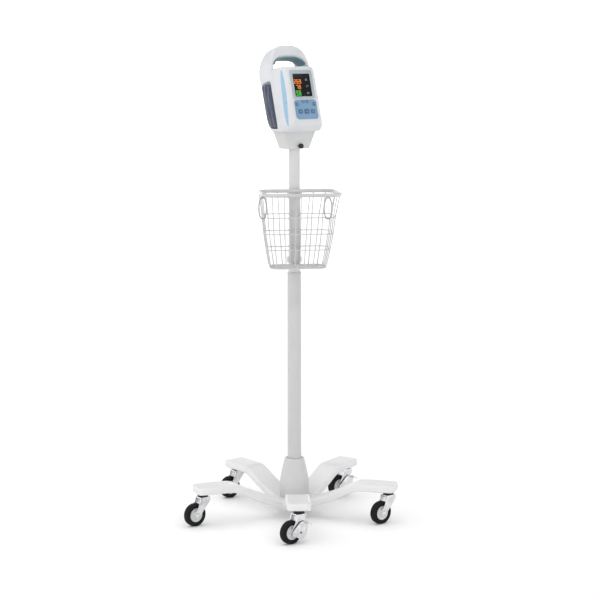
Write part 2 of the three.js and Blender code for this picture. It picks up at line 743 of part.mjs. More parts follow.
// A folded cuff: rounded in outline, and bulging out of the pocket.
function cuff() {
  const layers = [
    [POCKET_FLOOR - 1, 3],
    [POCKET_FLOOR - 3, 1.4],
    [-HEAD_HALF - CUFF_STANDS + 4, 1.4],
    [-HEAD_HALF - CUFF_STANDS + 1, 3.2],
    [-HEAD_HALF - CUFF_STANDS, 6],
  ];
  const ring = ([x, inset]) => pocketSide(inset).getPoints(5).slice(0, -1).map(({ x: y, y: z }) => [x, y, z]);
  return loft(layers.map(ring));
}

function hosePort() {
  const nipple = [[0, 0], [11, 0], [11, 2.4], [PORT_RADIUS, 2.4], [PORT_RADIUS, 12], [6.5, 12], [6.5, 19]];
  const bore = [[3, 19], [3, 6], [0, 6]];
  return turned([...nipple, ...bore], 16).rotate([-90, 0, 0]);
}

function mainBoard() {
  const board = box(-50, 50, 12, 13.6, 24, 168);
  const chips = [[-30, -14, 120, 136], [8, 30, 104, 126], [-24, -4, 60, 80], [16, 38, 40, 52]];
  return join(board, ...chips.map(([x0, x1, z0, z1]) => box(x0, x1, 13, 16, z0, z1)));
}

function pump() {
  const motor = [[0, 0], [12, 0], [12, 30], [13.5, 30], [13.5, 52]];
  const outlet = [[2.4, 52], [2.4, 60], [0, 60]];
  return turned([...motor, ...outlet], 16).rotate([0, 90, 0]).translate([-20, 60, 40]);
}

add(head, "rear_housing", rearHousing(), WHITE);
add(head, "front_housing", frontHousing(), WHITE);
add(head, "side_trim_left", trimLayer(-1, FIT, TRIM_DEPTH), BLUE);
add(head, "side_trim_right", trimLayer(1, FIT, TRIM_DEPTH), BLUE);
add(head, "handle_grip", handleGrip(), TEAL);
add(head, "display_frame", displayFrame(), SHADE);
add(head, "lcd_panel", lcdPanel(), GLASS);
add(head, "keypad_panel", keypadPanel(), KEYS);
for (const place of BUTTONS) add(head, place.name, button(place), BUTTON);
add(head, "cuff", cuff(), SLATE);
add(head, "main_board", mainBoard(), BOARD);
add(head, "pump", pump(), DARK);
add(head, "battery", box(-25, 18, 76, 96, 88, 146), DARK);
add(head, "battery_door", batteryDoor(), WHITE);
add(head, "hose_port", hosePort(), SHADE).position.set(...PORT_AT);

// ---------- cradle ----------

function headBracket() {
  const ring = (z, halfX, halfY, radius) =>
    outline(-halfX, halfX, -halfY, halfY, radius).map(([x, y]) => [x, y, z]);
  const block = loft([
    ring(1024, 38, 23, 9),
    ring(1028, 39.5, 24, 10),
    ring(1050, 47.5, 28, 12),
    ring(CRADLE_TOP - FIT, 54, 33, 13),
  ]);
  const inside = UPPER_RADIUS + FIT;
  const ceiling = UPPER_TOP + FIT;
  const socket = turned([[0, 1000], [inside, 1000], [inside, ceiling], [0, ceiling]], 28);
  const screwHole = turned([[0, 0], [3 + FIT, 0], [3 + FIT, 60], [0, 60]], 12).rotate([90, 0, 0]);
  return cut(block, socket, screwHole.translate([0, 0, THUMBSCREW_HEIGHT]));
}

// The screw that clamps the cradle on the column: a short shank and a round knob, turned about its own axis.
function thumbscrew() {
  const tip = UPPER_RADIUS + FIT;
  const knob = THUMBSCREW_KNOB;
  const profile = [
    [0, tip],
    [3, tip],
    [3, knob],
    [5.5, knob],
    [6.8, knob + 1.5],
    [6.8, knob + 8.5],
    [5.5, knob + 10],
    [0, knob + 10],
  ];
  return turned(profile, 16).rotate([90, 0, 0]);
}

add(headTurn, "head_bracket", headBracket(), SHADE);
add(headTurn, "bracket_thumbscrew", thumbscrew(), DARK).position.z = THUMBSCREW_HEIGHT;

export default product;
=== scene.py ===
"""The looks of a patient monitor on its roll stand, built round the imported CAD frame.

Pieces are made in millimetres in the frame of what they belong to (head, basket, caster or column),
and a matrix in metres puts them where the frame has that body.
"""

import json
import math

import bmesh
import bpy
import numpy as np
from mathutils import Matrix, Vector


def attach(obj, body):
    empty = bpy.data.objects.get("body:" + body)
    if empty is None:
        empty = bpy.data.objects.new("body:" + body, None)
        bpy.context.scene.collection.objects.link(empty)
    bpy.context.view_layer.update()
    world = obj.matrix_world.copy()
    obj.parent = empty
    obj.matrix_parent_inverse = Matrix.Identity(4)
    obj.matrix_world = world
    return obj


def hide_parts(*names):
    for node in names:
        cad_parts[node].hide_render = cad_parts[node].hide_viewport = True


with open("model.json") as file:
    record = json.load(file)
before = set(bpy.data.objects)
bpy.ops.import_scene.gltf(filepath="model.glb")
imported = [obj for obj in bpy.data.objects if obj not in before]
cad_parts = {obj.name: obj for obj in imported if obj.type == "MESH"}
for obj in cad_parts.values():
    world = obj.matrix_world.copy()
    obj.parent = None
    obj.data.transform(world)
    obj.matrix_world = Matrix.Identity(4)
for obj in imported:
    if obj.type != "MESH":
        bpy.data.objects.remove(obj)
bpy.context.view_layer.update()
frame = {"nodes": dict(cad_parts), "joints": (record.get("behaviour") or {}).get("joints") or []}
JOINTS = {joint["name"]: joint for joint in frame["joints"]}
MM = Matrix.Scale(0.001, 4)

# ---------- sizes, in millimetres ----------

HEAD_FORWARD = 72.6  # the face's lower edge, in front of the column's axis
HEAD_BOTTOM = 1075  # the height of the face's lower edge, before the level cut
CRADLE_TOP = 1071.5  # the head is cut level here
CRADLE_BOTTOM = 1024
CRADLE_GAP = 0.4  # between the cradle and the head
THUMBSCREW_HEIGHT = 1032
PARTING = 38  # depth at which the front housing meets the rear housing
PARTING_GAP = 0.3  # from that plane to either housing
HANDLE_TOP = 249
HANDLE_FOOT = 150
HANDLE_HOLE_FOOT = 165
HANDLE_THICKNESS = 34  # of the bow, at its crown
DECK = 182  # the head's flat top, under the handle
POCKET_FLOOR = -38
SCREEN = (28, 94, 157)  # half width, low, high
BEZEL = (36, 88.5, 167)
KEYPAD = (36, 32, 85.5)
BASKET_TURN = math.radians(5)
RIM_RADIUS = 4.5
RIM_COAT = 0.7  # added to the rim's radius
WIRE_RADIUS = 1.5
FLOOR_WIRE_RADIUS = 2.2
HOOK_WIRE_RADIUS = 1.9
# each ring of the basket: height, half of the width, back, front
BASKET_LEVELS = [
    (911, 103, -26, -180),
    (849, 95, -24.6, -150),
    (804, 91, -24.3, -137),
    (760, 84, -24, -123),
    (709, 75, -23.7, -106),
]
BASKET_CORNER = 34
WIRE_BEND = 11  # radius of a wire's bend between a wall and the floor
WIRE_END = 0.4  # how far below the rim's bare tube the wires end, inside its coat
FRONT_WIRES = (-82, -49, -16.5, 16.5, 49, 82)
SIDE_WIRES = (0.25, 0.5, 0.75)
HOOK_HALF_WIDTH = 10
HOOK_HALF_HEIGHT = 28
HOOK_GAP = 0.4  # between a hook and the wire above it
LEG_TIP = 290
LEG_WIDTH = 65
LEG_THICKNESS = 21
LEG_EDGE = 3.4  # radius of the edges along a leg
TIP_CORNER = 12  # rounding of a leg's tip, seen from above
TIP_EDGE = 3.2  # rounding of a leg's tip, seen from the side
WHEEL_RADIUS = 31.5
TRAIL = 27  # from the swivel axis to the axle
AXLE_BOSS = 9  # radius of the plates round the axle
FORK_TOP = 79.2
LEGS = 5
BRAKED = (1, 3)


# ---------- camera ----------

CAMERA_AZIMUTH = math.radians(-2.5)
CAMERA_PITCH = math.radians(8.27)
CAMERA_PAN = math.radians(-0.19)
CAMERA_DISTANCE = 4.69
CAMERA_HEIGHT = 1.29
CAMERA_LENS = 103.4

column = Vector(JOINTS["monitor_swivel"]["pos_m"])
column.z = 0


def make_camera():
    data = bpy.data.cameras.new("camera")
    data.lens = CAMERA_LENS
    data.sensor_width = 36
    data.clip_end = 100
    camera = bpy.data.objects.new("camera", data)
    bpy.context.scene.collection.objects.link(camera)
    back = Vector((math.sin(CAMERA_AZIMUTH), -math.cos(CAMERA_AZIMUTH), 0))
    camera.location = column + back * CAMERA_DISTANCE + Vector((0, 0, CAMERA_HEIGHT))
    camera.rotation_euler = (math.pi / 2 - CAMERA_PITCH, 0, CAMERA_AZIMUTH + CAMERA_PAN)
    bpy.context.scene.camera = camera


# ---------- frames of the sub-assemblies ----------


def column_frame(turn=0.0):
    """A frame on the column's axis, in millimetres, turned about it."""
    return Matrix.Translation(column) @ Matrix.Rotation(turn, 4, "Z") @ MM


def head_frame():
    """x across, y back from the face, z up the face."""
    across = -Vector(JOINTS["cuff_pull"]["axis"]).normalized()
    back = Vector(JOINTS["button_start_press"]["axis"]).normalized()
    turn = Matrix((across, back, across.cross(back))).transposed().to_4x4()
    front = Vector((-back.x, -back.y, 0)).normalized()
    origin = column + front * HEAD_FORWARD / 1000 + Vector((0, 0, HEAD_BOTTOM / 1000))
    return Matrix.Translation(origin) @ turn @ MM


def caster_frame(number):
    """On the swivel axis at the floor, with x pointing from it towards the axle."""
    stem = Vector(JOINTS[f"caster_{number}_swivel"]["pos_m"])
    axle = Vector(JOINTS[f"wheel_{number}_spin"]["pos_m"])
    heading = math.atan2(axle.y - stem.y, axle.x - stem.x)
    return Matrix.Translation((stem.x, stem.y, 0)) @ Matrix.Rotation(heading, 4, "Z") @ MM


Z_TO_BACK = Matrix.Rotation(-math.pi / 2, 4, "X")  # turns z to y
Z_TO_FRONT = Matrix.Rotation(math.pi / 2, 4, "X")  # turns z to -y
HEAD = head_frame()
BASKET = column_frame(BASKET_TURN)
COLUMN = column_frame()
HEAD_TURN = math.atan2(HEAD[1][0], HEAD[0][0])
CRADLE = column_frame(HEAD_TURN)
AXLE = Matrix.Translation((TRAIL, 0, WHEEL_RADIUS)) @ Z_TO_BACK


# ---------- mesh tools ----------

CREASE = 32  # degrees; an edge is crisp when its faces meet more sharply than this
BEVEL_SEGMENTS = 3
WIRE_SIDES = 12
ARC_STEPS = 12
COLUMN_SIDES = 96


def shade(obj, angle=CREASE):
    """Smooth shading, with the edges sharper than angle kept crisp."""
    bm = bmesh.new()
    bm.from_mesh(obj.data)
    bmesh.ops.remove_doubles(bm, verts=bm.verts, dist=1e-6)
    bmesh.ops.recalc_face_normals(bm, faces=bm.faces)
    limit = math.radians(angle)
    for face in bm.faces:
        face.smooth = True
    for edge in bm.edges:
        edge.smooth = len(edge.link_faces) == 2 and edge.calc_face_angle(0) < limit
    bm.to_mesh(obj.data)
    bm.free()
    return obj


def piece(name, vertices, faces, matrix, angle=CREASE):
    """A new object; the matrix takes its vertices to metres in the scene."""
    mesh = bpy.data.meshes.new(name)
    mesh.from_pydata([matrix @ Vector(v) for v in vertices], [], faces)
    obj = bpy.data.objects.new(name, mesh)
    bpy.context.scene.collection.objects.link(obj)
    return shade(obj, angle)


def applied(obj, angle=CREASE):
    """obj with its modifiers made real."""
    bpy.context.view_layer.update()
    evaluated = obj.evaluated_get(bpy.context.evaluated_depsgraph_get())
    mesh = bpy.data.meshes.new_from_object(evaluated)
    obj.modifiers.clear()
    obj.data = mesh
    return shade(obj, angle)


def bevelled(obj, width):
    """Rounds the sharp edges; width is in millimetres."""
    bevel = obj.modifiers.new("bevel", "BEVEL")
    bevel.width = width / 1000
    bevel.segments = BEVEL_SEGMENTS
    bevel.limit_method = "ANGLE"
    bevel.angle_limit = math.radians(CREASE)
    return applied(obj)


def minus(obj, *cutters):
    """obj with the cutters' volumes removed; the cutters are deleted."""
    for cutter in cutters:
        modifier = obj.modifiers.new("cut", "BOOLEAN")
        modifier.operation = "DIFFERENCE"
        modifier.solver = "EXACT"
        modifier.object = cutter
    applied(obj)
    for cutter in cutters:
        bpy.data.objects.remove(cutter)
    return obj


def joined(name, *objects):
    """One object that holds all of the meshes, whose materials are kept."""
    bpy.ops.object.select_all(action="DESELECT")
    for obj in objects:
        obj.select_set(True)
    bpy.context.view_layer.objects.active = objects[0]
    bpy.ops.object.join()
    objects[0].name = name
    return objects[0]


def remeshed(obj, voxel, smoothing):
    """The outside of obj as one even skin, smoothed so many times; voxel is in millimetres."""
    remesh = obj.modifiers.new("remesh", "REMESH")
    remesh.mode = "VOXEL"
    remesh.voxel_size = voxel / 1000
    smooth = obj.modifiers.new("smooth", "SMOOTH")
    smooth.factor = 0.5
    smooth.iterations = smoothing
    return applied(obj)


def bridged(rings, closed=False, caps=True):
    """Faces over rings of equal length; the vertices are the rings in order."""
    count = len(rings[0])
    levels = len(rings)
    faces = []
    for level in range(levels if closed else levels - 1):
        here = level * count
        there = (level + 1) % levels * count
        for i in range(count):
            j = (i + 1) % count
            faces.append((here + i, here + j, there + j, there + i))
    if caps and not closed:
        faces.append(tuple(range(count))[::-1])
        faces.append(tuple(range((levels - 1) * count, levels * count)))
    return [v for ring in rings for v in ring], faces


def lofted(name, rings, matrix, angle=CREASE):
    """A solid through rings of equal length."""
    vertices, faces = bridged(rings)
    return piece(name, vertices, faces, matrix, angle)


def around(place, count):
    """Places spread evenly about the z axis of one."""
    return [place @ Matrix.Rotation(2 * math.pi * k / count, 4, "Z") for k in range(count)]


def fillet(points, radius, closed=False, steps=4):
    """The polyline with its corners rounded by about radius."""
    points = [Vector(p) for p in points]
    count = len(points)
    result = []
    for i, corner in enumerate(points):
        if not closed and i in (0, count - 1):
            result.append(corner)
            continue
        before = points[i - 1] - corner
        after = points[(i + 1) % count] - corner
        reach = min(radius, before.length / 2.01, after.length / 2.01)
        start = corner + before.normalized() * reach
        end = corner + after.normalized() * reach
        for step in range(steps + 1):
            t = step / steps
            result.append(start * (1 - t) ** 2 + corner * 2 * t * (1 - t) + end * t * t)
    return result


def turned(name, profile, matrix, segments, radius):
    """A solid of revolution about z; the profile is (distance, height), its corners rounded by radius."""
    ring = all(r > 0 for r, _ in profile)
    line = fillet([(r, z, 0) for r, z in profile], radius, closed=ring)
    rings = []
    for step in range(segments):
        a = 2 * math.pi * step / segments
        rings.append([(p.x * math.cos(a), p.x * math.sin(a), p.y) for p in line])
    vertices, faces = bridged(rings, closed=True, caps=False)
    if not ring:
        count = len(line)
        faces = [f for f in faces if not (f[0] % count == count - 1 and f[1] % count == 0)]
    return piece(name, vertices, faces, matrix)


def tube(name, inner, outer, low, high, matrix, segments, radius):
    """A plain tube about z, its corners rounded by radius."""
    profile = [(inner, low), (outer, low), (outer, high), (inner, high)]
    return turned(name, profile, matrix, segments, radius)


def both_ends(profile):
    """The profile of something turned with two like ends, from its lower half."""
    return profile + [(r, -z) for r, z in reversed(profile)]


def prism(name, shape, low, high, matrix, bevel):
    """A flat outline given as (x, z), as thick as from y = low to y = high."""
    rings = [[(x, y, z) for x, z in shape] for y in (low, high)]
    obj = lofted(name, rings, matrix)
    return bevelled(obj, bevel) if bevel else obj


def swept(points, radius, closed):
    """Vertices and faces of a round wire along the points."""
    points = [Vector(p) for p in points]
    count = len(points)
    angles = [2 * math.pi * k / WIRE_SIDES for k in range(WIRE_SIDES)]
    rings = []
    normal = None
    for i, at in enumerate(points):
        before = points[i - 1] if closed or i else at
        after = points[(i + 1) % count] if closed or i < count - 1 else at
        along = (after - before).normalized()
        if normal is None:
            normal = along.orthogonal()
        normal = (normal - along * normal.dot(along)).normalized()
        side = along.cross(normal)
        rings.append([at + normal * radius * math.cos(a) + side * radius * math.sin(a) for a in angles])
    return bridged(rings, closed)


def wires(name, runs, matrix):
    """One object made of several swept wires, each (points, radius, closed)."""
    vertices, faces = [], []
    for points, radius, closed in runs:
        more, sides = swept(points, radius, closed)
        faces += [tuple(i + len(vertices) for i in face) for face in sides]
        vertices += more
    return piece(name, vertices, faces, matrix, angle=60)


def outline(x0, x1, z0, z1, radius, steps=8, low_radius=None):
    """A rounded rectangle, as points; its lower corners may have their own radius."""
    low = low_radius or radius
    corners = (
        (x1 - low, z0 + low, low),
        (x1 - radius, z1 - radius, radius),
        (x0 + radius, z1 - radius, radius),
        (x0 + low, z0 + low, low),
    )
    points = []
    for corner, (cx, cz, size) in enumerate(corners):
        for step in range(steps):
            a = (corner - 1 + step / (steps - 1)) * math.pi / 2
            points.append((cx + size * math.cos(a), cz + size * math.sin(a)))
    return points


def window(size, grow=0.0, radius=6.0):
    """The outline of a part of the face from its (half width, low, high), grown all round."""
    half, low, high = size
    return outline(-half - grow, half + grow, low - grow, high + grow, radius + grow)


def eased(keys, places):
    """Smooth, monotone interpolation of rows of numbers; the first column is the place."""
    keys = np.array(keys, float)
    x, rows = keys[:, 0], keys[:, 1:]
    slopes = np.diff(rows, axis=0) / np.diff(x)[:, None]
    tangents = np.zeros_like(rows)
    same_way = slopes[:-1] * slopes[1:] > 0
    total = np.where(same_way, slopes[:-1] + slopes[1:], 1)
    tangents[1:-1] = np.where(same_way, 2 * slopes[:-1] * slopes[1:] / total, 0)
    tangents[0], tangents[-1] = slopes[0], slopes[-1]
    result = []
    for place in places:
        i = int(np.clip(np.searchsorted(x, place) - 1, 0, len(x) - 2))
        h = x[i + 1] - x[i]
        t = (place - x[i]) / h
        result.append(
            rows[i] * (2 * t**3 - 3 * t**2 + 1)
            + tangents[i] * h * (t**3 - 2 * t**2 + t)
            + rows[i + 1] * (3 * t**2 - 2 * t**3)
            + tangents[i + 1] * h * (t**3 - t**2)
        )
    return result


# ---------- materials ----------


def linear(code):
    """An sRGB hex colour as linear red, green, blue and alpha."""
    channels = [int(code[i : i + 2], 16) / 255 for i in (0, 2, 4)]
    return [c / 12.92 if c <= 0.04045 else ((c + 0.055) / 1.055) ** 2.4 for c in channels] + [1]


def dimmed(code, share):
    """A share of an sRGB hex colour's light."""
    return [c * share for c in linear(code)[:3]] + [1]


def shader(name):
    """A new material, its nodes, its links and its shader node."""
    material = bpy.data.materials.new(name)
    material.use_nodes = True
    nodes = material.node_tree.nodes
    return material, nodes, material.node_tree.links, nodes["Principled BSDF"]


def fill(node, values):
    """Sets inputs of a node."""
    for name, value in values.items():
        node.inputs[name].default_value = value


def noise(nodes, links, scale, detail=3.0):
    """A noise texture in the piece's own coordinates, in features per metre."""
    place = nodes.new("ShaderNodeTexCoord")
    texture = nodes.new("ShaderNodeTexNoise")
    fill(texture, {"Scale": scale, "Detail": detail})
    links.new(place.outputs["Object"], texture.inputs["Vector"])
    return texture.outputs["Fac"]


def ranged(nodes, links, source, low, high):
    """Maps the middle of a noise to low..high."""
    node = nodes.new("ShaderNodeMapRange")
    fill(node, {"From Min": 0.3, "From Max": 0.7, "To Min": low, "To Max": high})
    links.new(source, node.inputs["Value"])
    return node.outputs["Result"]


def mottled(nodes, links, source, first, second):
    """Two colours, mixed by a noise."""
    factor = ranged(nodes, links, source, 0, 1)
    mix = nodes.new("ShaderNodeMix")
    mix.data_type = "RGBA"
    links.new(factor, mix.inputs["Factor"])
    # inputs 6 and 7 and output 2 of a mix node are the ones for colour
    mix.inputs[6].default_value = first
    mix.inputs[7].default_value = second
    return mix.outputs[2]


def bump(nodes, links, bsdf, heights, distance):
    """Stacks bumps on the shader: heights are (socket, strength)."""
    previous = None
    for height, strength in heights:
        node = nodes.new("ShaderNodeBump")
        fill(node, {"Strength": strength, "Distance": distance})
        links.new(height, node.inputs["Height"])
        if previous:
            links.new(previous, node.inputs["Normal"])
        previous = node.outputs["Normal"]
    links.new(previous, bsdf.inputs["Normal"])


def moulded(name, code, other, roughness, grain=900.0, depth=0.25, coat=0.0, specular=0.5, wear=0.07):
    """Plastic, rubber, glass or paint: two close colours in broad clouds, fine grain and uneven gloss."""
    material, nodes, links, bsdf = shader(name)
    clouds = noise(nodes, links, 14)
    colour = mottled(nodes, links, clouds, linear(code), linear(other))
    links.new(colour, bsdf.inputs["Base Color"])
    smudges = noise(nodes, links, 45, 5)
    gloss = ranged(nodes, links, smudges, roughness - wear, roughness + wear)
    links.new(gloss, bsdf.inputs["Roughness"])
    fill(bsdf, {"Specular IOR Level": specular, "Coat Weight": coat, "Coat Roughness": 0.2})
    fine = noise(nodes, links, grain, 2)
    waves = noise(nodes, links, 60, 1)
    bump(nodes, links, bsdf, [(fine, depth), (waves, depth * 0.3)], 0.0002)
    return material


def metal(name, code, roughness):
    """Plated metal with fine scuffs."""
    material, nodes, links, bsdf = shader(name)
    fill(bsdf, {"Metallic": 1})
    dulling = noise(nodes, links, 90, 4)
    colour = mottled(nodes, links, dulling, linear(code), dimmed(code, 0.72))
    links.new(colour, bsdf.inputs["Base Color"])
    scuffs = noise(nodes, links, 350, 4)
    links.new(ranged(nodes, links, scuffs, roughness, roughness + 0.16), bsdf.inputs["Roughness"])
    bump(nodes, links, bsdf, [(scuffs, 0.12)], 0.0001)
    return material


def woven(name, code, other, thread):
    """A plain weave: crossed waves for the threads, and soft colour changes."""
    material, nodes, links, bsdf = shader(name)
    place = nodes.new("ShaderNodeTexCoord")
    heights = []
    for direction in ("DIAGONAL", "Z"):
        wave = nodes.new("ShaderNodeTexWave")
        wave.bands_direction = direction
        fill(wave, {"Scale": thread, "Distortion": 0.6})
        links.new(place.outputs["Object"], wave.inputs["Vector"])
        heights.append((wave.outputs["Fac"], 0.35))
    clouds = noise(nodes, links, 30, 6)
    colour = mottled(nodes, links, clouds, linear(code), linear(other))
    links.new(colour, bsdf.inputs["Base Color"])
    fill(bsdf, {"Roughness": 0.85, "Sheen Weight": 0.35, "Sheen Roughness": 0.5})
    crumple = noise(nodes, links, 55, 3)
    bump(nodes, links, bsdf, heights + [(crumple, 0.6)], 0.0006)
    return material


def glowing(name, code, strength):
    """A lit surface, a little uneven."""
    material, nodes, links, bsdf = shader(name)
    cells = noise(nodes, links, 700, 1)
    colour = mottled(nodes, links, cells, linear(code), dimmed(code, 0.75))
    links.new(colour, bsdf.inputs["Base Color"])
    links.new(colour, bsdf.inputs["Emission Color"])
    fill(bsdf, {"Emission Strength": strength, "Roughness": 0.3})
    return material


CASTING_PAINT = moulded("casting_paint", "D8D8D8", "D2D2D2", 0.42, grain=1400, depth=0.12, coat=0.1)
COLUMN_PAINT = moulded("column_paint", "BCBCBC", "B6B6B6", 0.4, grain=1400, depth=0.1, coat=0.1)
# the column paint made lighter for the upper tube: painted light, for the light that falls on it from above
UPPER_TUBE_LIT_PAINT = moulded("upper_column_paint_painted_light", "CACACA", "C4C4C4", 0.4, grain=1400, depth=0.1, coat=0.1)
WIRE_COAT = moulded("wire_coat", "BDBDBE", "B2B2B3", 0.35, grain=500, depth=0.3, coat=0.3)
BOOT_PLASTIC = moulded("boot_plastic", "C0C0C0", "B8B8B8", 0.5, grain=1600, depth=0.35)
SHELL = moulded("shell_plastic", "CDCFD2", "C7C9CC", 0.42, grain=2000, depth=0.3)
CRADLE_PLASTIC = moulded("cradle_plastic", "C9C9C9", "C2C2C2", 0.5, grain=1800, depth=0.35)
TRIM = moulded("trim_blue", "93B4CC", "8BADC6", 0.3, grain=1800, depth=0.1, coat=0.4)
GRIP = moulded("grip_rubber", "6E8C95", "637F89", 0.65, grain=900, depth=0.6)
BEZEL_PLASTIC = moulded("bezel_plastic", "A6B1B6", "9CA8AF", 0.3, grain=2000, depth=0.15, coat=0.3)
KEYS = moulded("keypad_membrane", "7797B2", "6C8DAA", 0.42, grain=1500, depth=0.3)
BUTTON = moulded("button_membrane", "48698C", "3F5F83", 0.4, grain=1500, depth=0.2, coat=0.2)
PRINT = moulded("button_print", "C9DDEA", "BFD5E4", 0.45)
BLACK = moulded("black_plastic", "222224", "1B1B1D", 0.5, grain=900, depth=0.4, specular=0.3)
TYRE = moulded("tyre_rubber", "0B0B0B", "111111", 0.7, grain=700, depth=0.6, specular=0.2)
WHEEL_CORE = moulded("wheel_core", "D2D3D4", "C8C9CA", 0.35, grain=800, depth=0.25, coat=0.2)
CHROME = metal("chrome_plate", "E4E4E6", 0.12)
WIRE_CHROME = metal("wire_chrome", "A9A9AC", 0.25)
CUFF_CLOTH = woven("cuff_cloth", "4A5064", "3B4155", 700)
# lavender-grey cloth that stands in for the pocket's rear wall and lip in shade: painted shade
POCKET_WALL_SHADE = woven("pocket_wall_painted_shade", "8E92A3", "7F8496", 900)
GLASS = moulded("screen_glass", "0A0B0D", "0F1013", 0.12, grain=2500, depth=0.02, coat=0.8, wear=0.03)
ORANGE = glowing("digit_orange", "D9792C", 0.5)
GREEN = glowing("digit_green", "46A83E", 0.45)
GREY = glowing("digit_grey", "8A8692", 0.5)


def finish_piece(obj, material, body, slot, *nodes):
    """Gives obj its material and body, and hides the CAD nodes that it stands for. The slot is not used."""
    obj.data.materials.clear()
    obj.data.materials.append(material)
    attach(obj, body)
    if nodes:
        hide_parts(*nodes)
    return obj


# ---------- base and column ----------

# a leg's underside: distance from the column's axis, and height
LEG_LINE = [
    (0, 31), (48, 32.5), (75, 40), (126, 60), (165, 79), (186, 87), (204, 88), (250, 88), (LEG_TIP, 88),
]
# turned outlines: distance from the axis, and height
HUB_PROFILE = [(0, 31), (47, 31), (47, 54), (42, 56), (0, 56)]
BOOT_PROFILE = [
    (20, 57), (40.6, 57), (41, 80), (40.4, 94), (39, 107), (36.9, 120), (34.1, 134),
    (31, 147), (28.7, 157), (27.4, 162), (26.8, 165.3), (21, 166.2), (19.3, 165),
]
BUSH_PROFILE = [(16.1, 662), (17.3, 662), (17.3, 684.3), (19, 684.3), (19, 686.4), (16.1, 687.4)]


def leg(number):
    """A leg as a run of rounded sections, its tip drawn in to round the plan's corners."""
    tip_start = LEG_TIP - TIP_CORNER
    places = [*np.linspace(20, 210, 39), *np.linspace(214, tip_start, 12)]
    places += [tip_start + TIP_CORNER * math.sin(a) for a in np.linspace(0.12, math.pi / 2, 12)]
    rings = []
    for place, (low,) in zip(places, eased(LEG_LINE, places)):
        over = max(place - tip_start, 0) / TIP_CORNER
        half = LEG_WIDTH / 2 - TIP_CORNER * (1 - math.sqrt(max(1 - over * over, 0)))
        lift = TIP_EDGE * (1 - math.sqrt(max(1 - over**4, 0)))
        section = outline(-half, half, low + lift, low + LEG_THICKNESS - lift, LEG_EDGE, 6)
        rings.append([(place, y, z) for y, z in section])
    turn = -math.pi / 2 + number * 2 * math.pi / LEGS
    return lofted(f"leg_{number}", rings, column_frame(turn), 40)


def base_casting():
    """The hub and its five legs, run into one another."""
    hub = turned("hub", HUB_PROFILE, COLUMN, COLUMN_SIDES, 3)
    casting = joined("base_casting_skin", hub, *[leg(number) for number in range(LEGS)])
    casting = remeshed(casting, 2.0, 7)
    finish_piece(casting, CASTING_PAINT, "stand", "base_paint", "base_casting")


def column_pieces():
    boot = turned("boot_skin", BOOT_PROFILE, COLUMN, COLUMN_SIDES, 4)
    finish_piece(boot, BOOT_PLASTIC, "stand", "boot_plastic", "column_boot")
    foot_ring = tube("boot_foot_ring", 40, 41.4, 56, 59, COLUMN, COLUMN_SIDES, 0.6)
    finish_piece(foot_ring, BOOT_PLASTIC, "stand", "boot_plastic")
    lower = tube("lower_tube_skin", 17.5, 19, 100, 684, COLUMN, COLUMN_SIDES, 0.6)
    finish_piece(lower, COLUMN_PAINT, "stand", "column_paint", "column_lower_tube")
    # the upper tube gets the lighter copy of the column paint, which is painted light from above
    upper = tube("upper_tube_skin", 14.2, 16, 600, 1045, COLUMN, COLUMN_SIDES, 0.5)
    finish_piece(upper, UPPER_TUBE_LIT_PAINT, "stand", "column_paint", "column_upper_tube")
    bush = turned("bush_skin", BUSH_PROFILE, COLUMN, COLUMN_SIDES, 0.7)
    finish_piece(bush, BOOT_PLASTIC, "stand", "column_bush", "column_sleeve")


# ---------- basket ----------


def basket_ring(level, corner, steps=9):
    """The rounded rectangle that a ring of wire follows."""
    z, half, back, front = level
    return [(x, y, z) for x, y in outline(-half, half, front, back, corner, steps)]


def front_wire(x):
    """Gives the function that places a wire on the front wall (side 1) and the back wall (side -1)."""
    def wall_point(level, side):
        z, half, back, front = level
        return x * half / BASKET_LEVELS[0][1], front if side > 0 else back, z
    return wall_point


def side_wire(share):
    """Gives the function that places a wire on the right wall (side 1) and the left wall (side -1)."""
    def wall_point(level, side):
        z, half, back, front = level
        return side * half, back + share * (front - back), z
    return wall_point


def cross_wire(wall_point):
    """A wire down one wall, across the floor and up the wall opposite."""
    walls = [[Vector(wall_point(level, side)) for level in BASKET_LEVELS] for side in (1, -1)]
    for wall in walls:
        wall[0].z = BASKET_LEVELS[0][0] - RIM_RADIUS - WIRE_END
    return fillet(walls[0] + walls[1][::-1], WIRE_BEND, steps=5)


def basket():
    """The rim, the welded wires, and the bar and collars that hold them to the column."""
    rim_line = basket_ring(BASKET_LEVELS[0], BASKET_CORNER, 12)
    rim = wires("basket_rim_tube", [(rim_line, RIM_RADIUS + RIM_COAT, True)], BASKET)
    finish_piece(rim, WIRE_COAT, "stand", "wire_coat", "basket_rim")
    runs = []
    for level in BASKET_LEVELS[1:]:
        radius = FLOOR_WIRE_RADIUS if level is BASKET_LEVELS[-1] else WIRE_RADIUS
        runs.append((basket_ring(level, BASKET_CORNER * 0.75), radius, True))
    wall_points = [front_wire(x) for x in FRONT_WIRES] + [side_wire(share) for share in SIDE_WIRES]
    for wall_point in wall_points:
        runs.append((cross_wire(wall_point), WIRE_RADIUS, False))
    mesh = wires("basket_wire_mesh", runs, BASKET)
    finish_piece(mesh, WIRE_COAT, "stand", "wire_coat", "basket_wires")
    bracket = prism("basket_bracket_bar", outline(-13, 13, 709, 917, 4), -19.3, -16.4, BASKET, 0.7)
    for height in (714, 889):
        collar = tube("basket_collar", 16.2, 20.3, height, height + 14, BASKET, 72, 1)
        bracket = joined("basket_bracket_skin", bracket, collar)
    finish_piece(bracket, WIRE_COAT, "stand", "column_paint", "basket_bracket")


